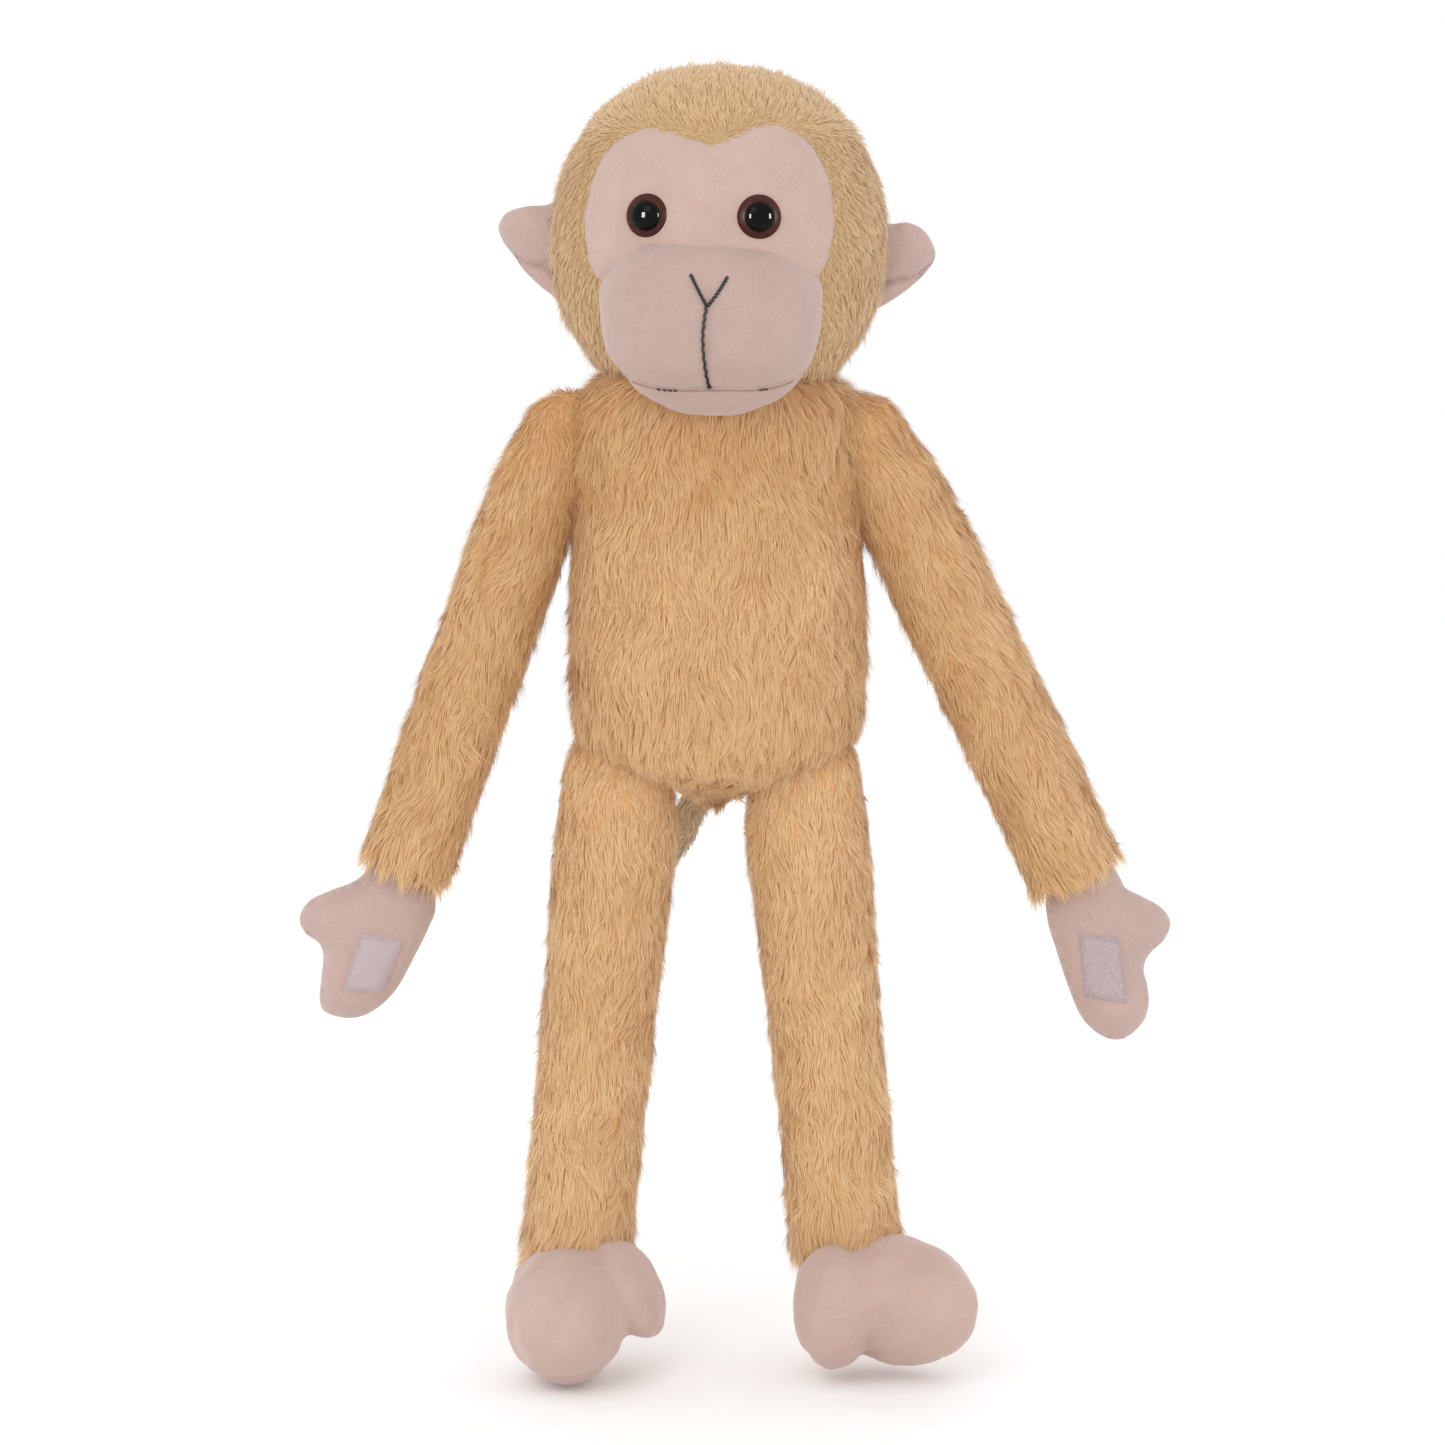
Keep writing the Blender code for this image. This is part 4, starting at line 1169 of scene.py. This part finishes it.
def head_fur(skin):
    """The head's pile, combed away from the face and thinned to nothing under its two panels."""
    edges = (spline(FACE, 160, closed=True), spline(MUZZLE_EDGE, 120, closed=True))

    def past_panels(points):
        flat = points[:, [0, 2]]
        away = [np.where(inside(flat, edge), -1, 1) * edge_distance(flat, edge) for edge in edges]
        return np.minimum(*away)

    def comb(points, normals):
        front = steps(-points[:, 1], 20, 60)[:, None]
        low = steps(-points[:, 2], -470, -420)[:, None]
        from_face = np.stack([points[:, 0] + 2, np.zeros(len(points)), points[:, 2] - 478], 1)
        top = steps(points[:, 2], 505, 530)[:, None]
        back = top * steps(-points[:, 1], 6, 22)[:, None]
        crown = np.array((0, 0.35, 0)) + np.array((0, 0.6, 0)) * top
        return DOWN * (0.8 + low - 1.4 * back) + unit(from_face) * 0.55 * front + crown

    def keep(points, normals):
        front = points[:, 1] < 5
        away = past_panels(points)
        share = np.where(front, 0.62 + 0.38 * steps(away, 0.0, 6.0), 1.0)
        share = np.where(front & (away < -2.2), 0, share)
        return share * (1 + 0.35 * steps(-points[:, 2], -440, -415))

    def shade(points, normals):
        # on a plain darker tone, the pile is darker in front next to the face's panels and has painted shade
        # at the bottom of the head, under the jaw
        away = past_panels(points)
        front = points[:, 1] < 5
        return -0.06 - 0.22 * front * (1 - steps(away, 0, 5)) - 0.15 * steps(-points[:, 2], -430, -412)

    looks = {"width": 0.38, "lift": 0.22, "tuft": 3.0, "pull": 0.3, "ruffle": 0.6}
    fur = grow("head_fur", skin, 1.4, 6.0, comb, FUR_SEED["head"], keep, shade, **looks)
    finish_piece(fur, HEAD_FUR, "head")


def tail():
    route = spline([Vector(p) + joint_at("tail_lift") for p in TAIL_ROUTE], TAIL_POINTS)
    way = unit(np.gradient(route, axis=0))
    radii = [TAIL_R - TAIL_TAPER * k / (TAIL_POINTS - 1) for k in range(TAIL_POINTS)]
    skin = tube("tail_skin", route, radii)

    def comb(points, normals):
        near = np.argmin(((points[:, None] - route[None]) ** 2).sum(2), axis=1)
        return way[near]

    fur = grow("tail_fur", skin, 0.9, 6.0, comb, FUR_SEED["tail"], tuft=3.0, width=0.45)
    nodes = ("tail_cover", "tail_stuffing")
    finish_piece(skin, HEAD_BACKING, "tail", nodes=nodes)
    finish_piece(fur, TAIL_FUR, "tail")


def tube(name, route, radii, around=24):
    """A round tube along a route, with rounded ends."""
    way = unit(np.gradient(np.array(route), axis=0))
    side = unit(np.cross(way[0], np.array((0.3, 0.2, 1.0))))
    rings = []
    for at, along, r in zip(route, way, radii):
        side = unit(side - (side @ along) * along)
        up = np.cross(along, side)
        rings.append((at, side * r, up * r))
    for end, first, sign in ((0, True, -1), (-1, False, 1)):
        at, side_r, up_r = rings[end]
        r = radii[end]
        cap = [
            (at + way[end] * sign * r * math.sin(a), side_r * math.cos(a), up_r * math.cos(a))
            for a in np.linspace(0.3, math.pi / 2 - 0.08, 5)
        ]
        rings = (cap[::-1] + rings) if first else (rings + cap)
    return loft(name, rings, around)


def limbs():
    for side in SIDES:
        sleeve(side, "arm")
        sleeve(side, "leg")
        hand(side)
        foot(side)


# ---------------- hidden parts, stage and camera


def hidden_parts():
    """The parts sewn inside keep the modelled shape, with a material of their own."""
    looks = {
        "washer": plain_material("washer_white", (0.75, 0.74, 0.70), 0.4),
        "seam": plain_material("tan_thread", (0.55, 0.34, 0.18), 0.8, grain=0.4),
    }
    for name, node in frame["nodes"].items():
        for kind, look in looks.items():
            if name.endswith(kind):
                node.data.materials.clear()
                node.data.materials.append(look)


def area_light(name, at, aim, size, power):
    data = bpy.data.lights.new(name, "AREA")
    data.shape = "RECTANGLE"
    data.size, data.size_y = size
    data.energy = power
    made = linked(name, data)
    made.location = at
    made.rotation_euler = (Vector(aim) - Vector(at)).to_track_quat("-Z", "Y").to_euler()
    return made


def floor_material():
    made, _, shader = new_material("floor_white", 0.9)
    shader.inputs["Base Color"].default_value = (0.93, 0.93, 0.93, 1)
    shader.inputs["Specular IOR Level"].default_value = 0.1
    shader.inputs["Emission Color"].default_value = (1, 1, 1, 1)
    shader.inputs["Emission Strength"].default_value = 0.08
    return made


def studio():
    """A white floor and world, a key light, two softboxes that only the eyes show, and a light behind."""
    bpy.ops.mesh.primitive_plane_add(size=12, location=(0, 0, -0.0005))
    floor = bpy.context.object
    floor.name = "floor"
    floor.data.materials.append(floor_material())
    world = bpy.data.worlds.new("studio")
    world.use_nodes = True
    background = world.node_tree.nodes["Background"]
    background.inputs["Color"].default_value = (1, 1, 1, 1)
    background.inputs["Strength"].default_value = WORLD_LIGHT
    bpy.context.scene.world = world
    area_light("key", (-0.7, -1.7, 1.7), (0, 0, 0.28), (1.2, 1.2), KEY_LIGHT)
    for x, y in SOFTBOXES:
        softbox = area_light("softbox", (x, y, 0.62), (0, 0, 0.40), (0.40, 0.60), SOFTBOX_LIGHT)
        softbox.visible_diffuse = False
    area_light("back", (0.2, 1.6, 1.8), (0, 0, 0.3), (1.6, 1.0), BACK_LIGHT)
    bpy.context.scene.view_settings.view_transform = "Standard"


def camera():
    data = bpy.data.cameras.new("camera")
    data.sensor_width = SENSOR
    data.lens = SENSOR * CAMERA_AWAY / (FRAME_WIDE * MM)
    made = linked("camera", data)
    aim = TOY @ Vector(CAMERA_AIM)
    tilt = math.radians(CAMERA_TILT)
    made.location = aim + Vector((0, -math.cos(tilt), math.sin(tilt))) * CAMERA_AWAY
    made.rotation_euler = (aim - made.location).to_track_quat("-Z", "Y").to_euler()
    bpy.context.scene.camera = made


def build():
    skin = head_skin()
    face_tree = tree_of(face(tree_of(skin)))
    whole = muzzle()
    muzzle_tree = tree_of(whole)
    bpy.data.objects.remove(whole, do_unlink=True)
    ears()
    eyes(face_tree)
    nose_and_mouth(muzzle_tree)
    head_fur(skin)
    torso()
    limbs()
    tail()
    hidden_parts()
    studio()
    camera()


build()
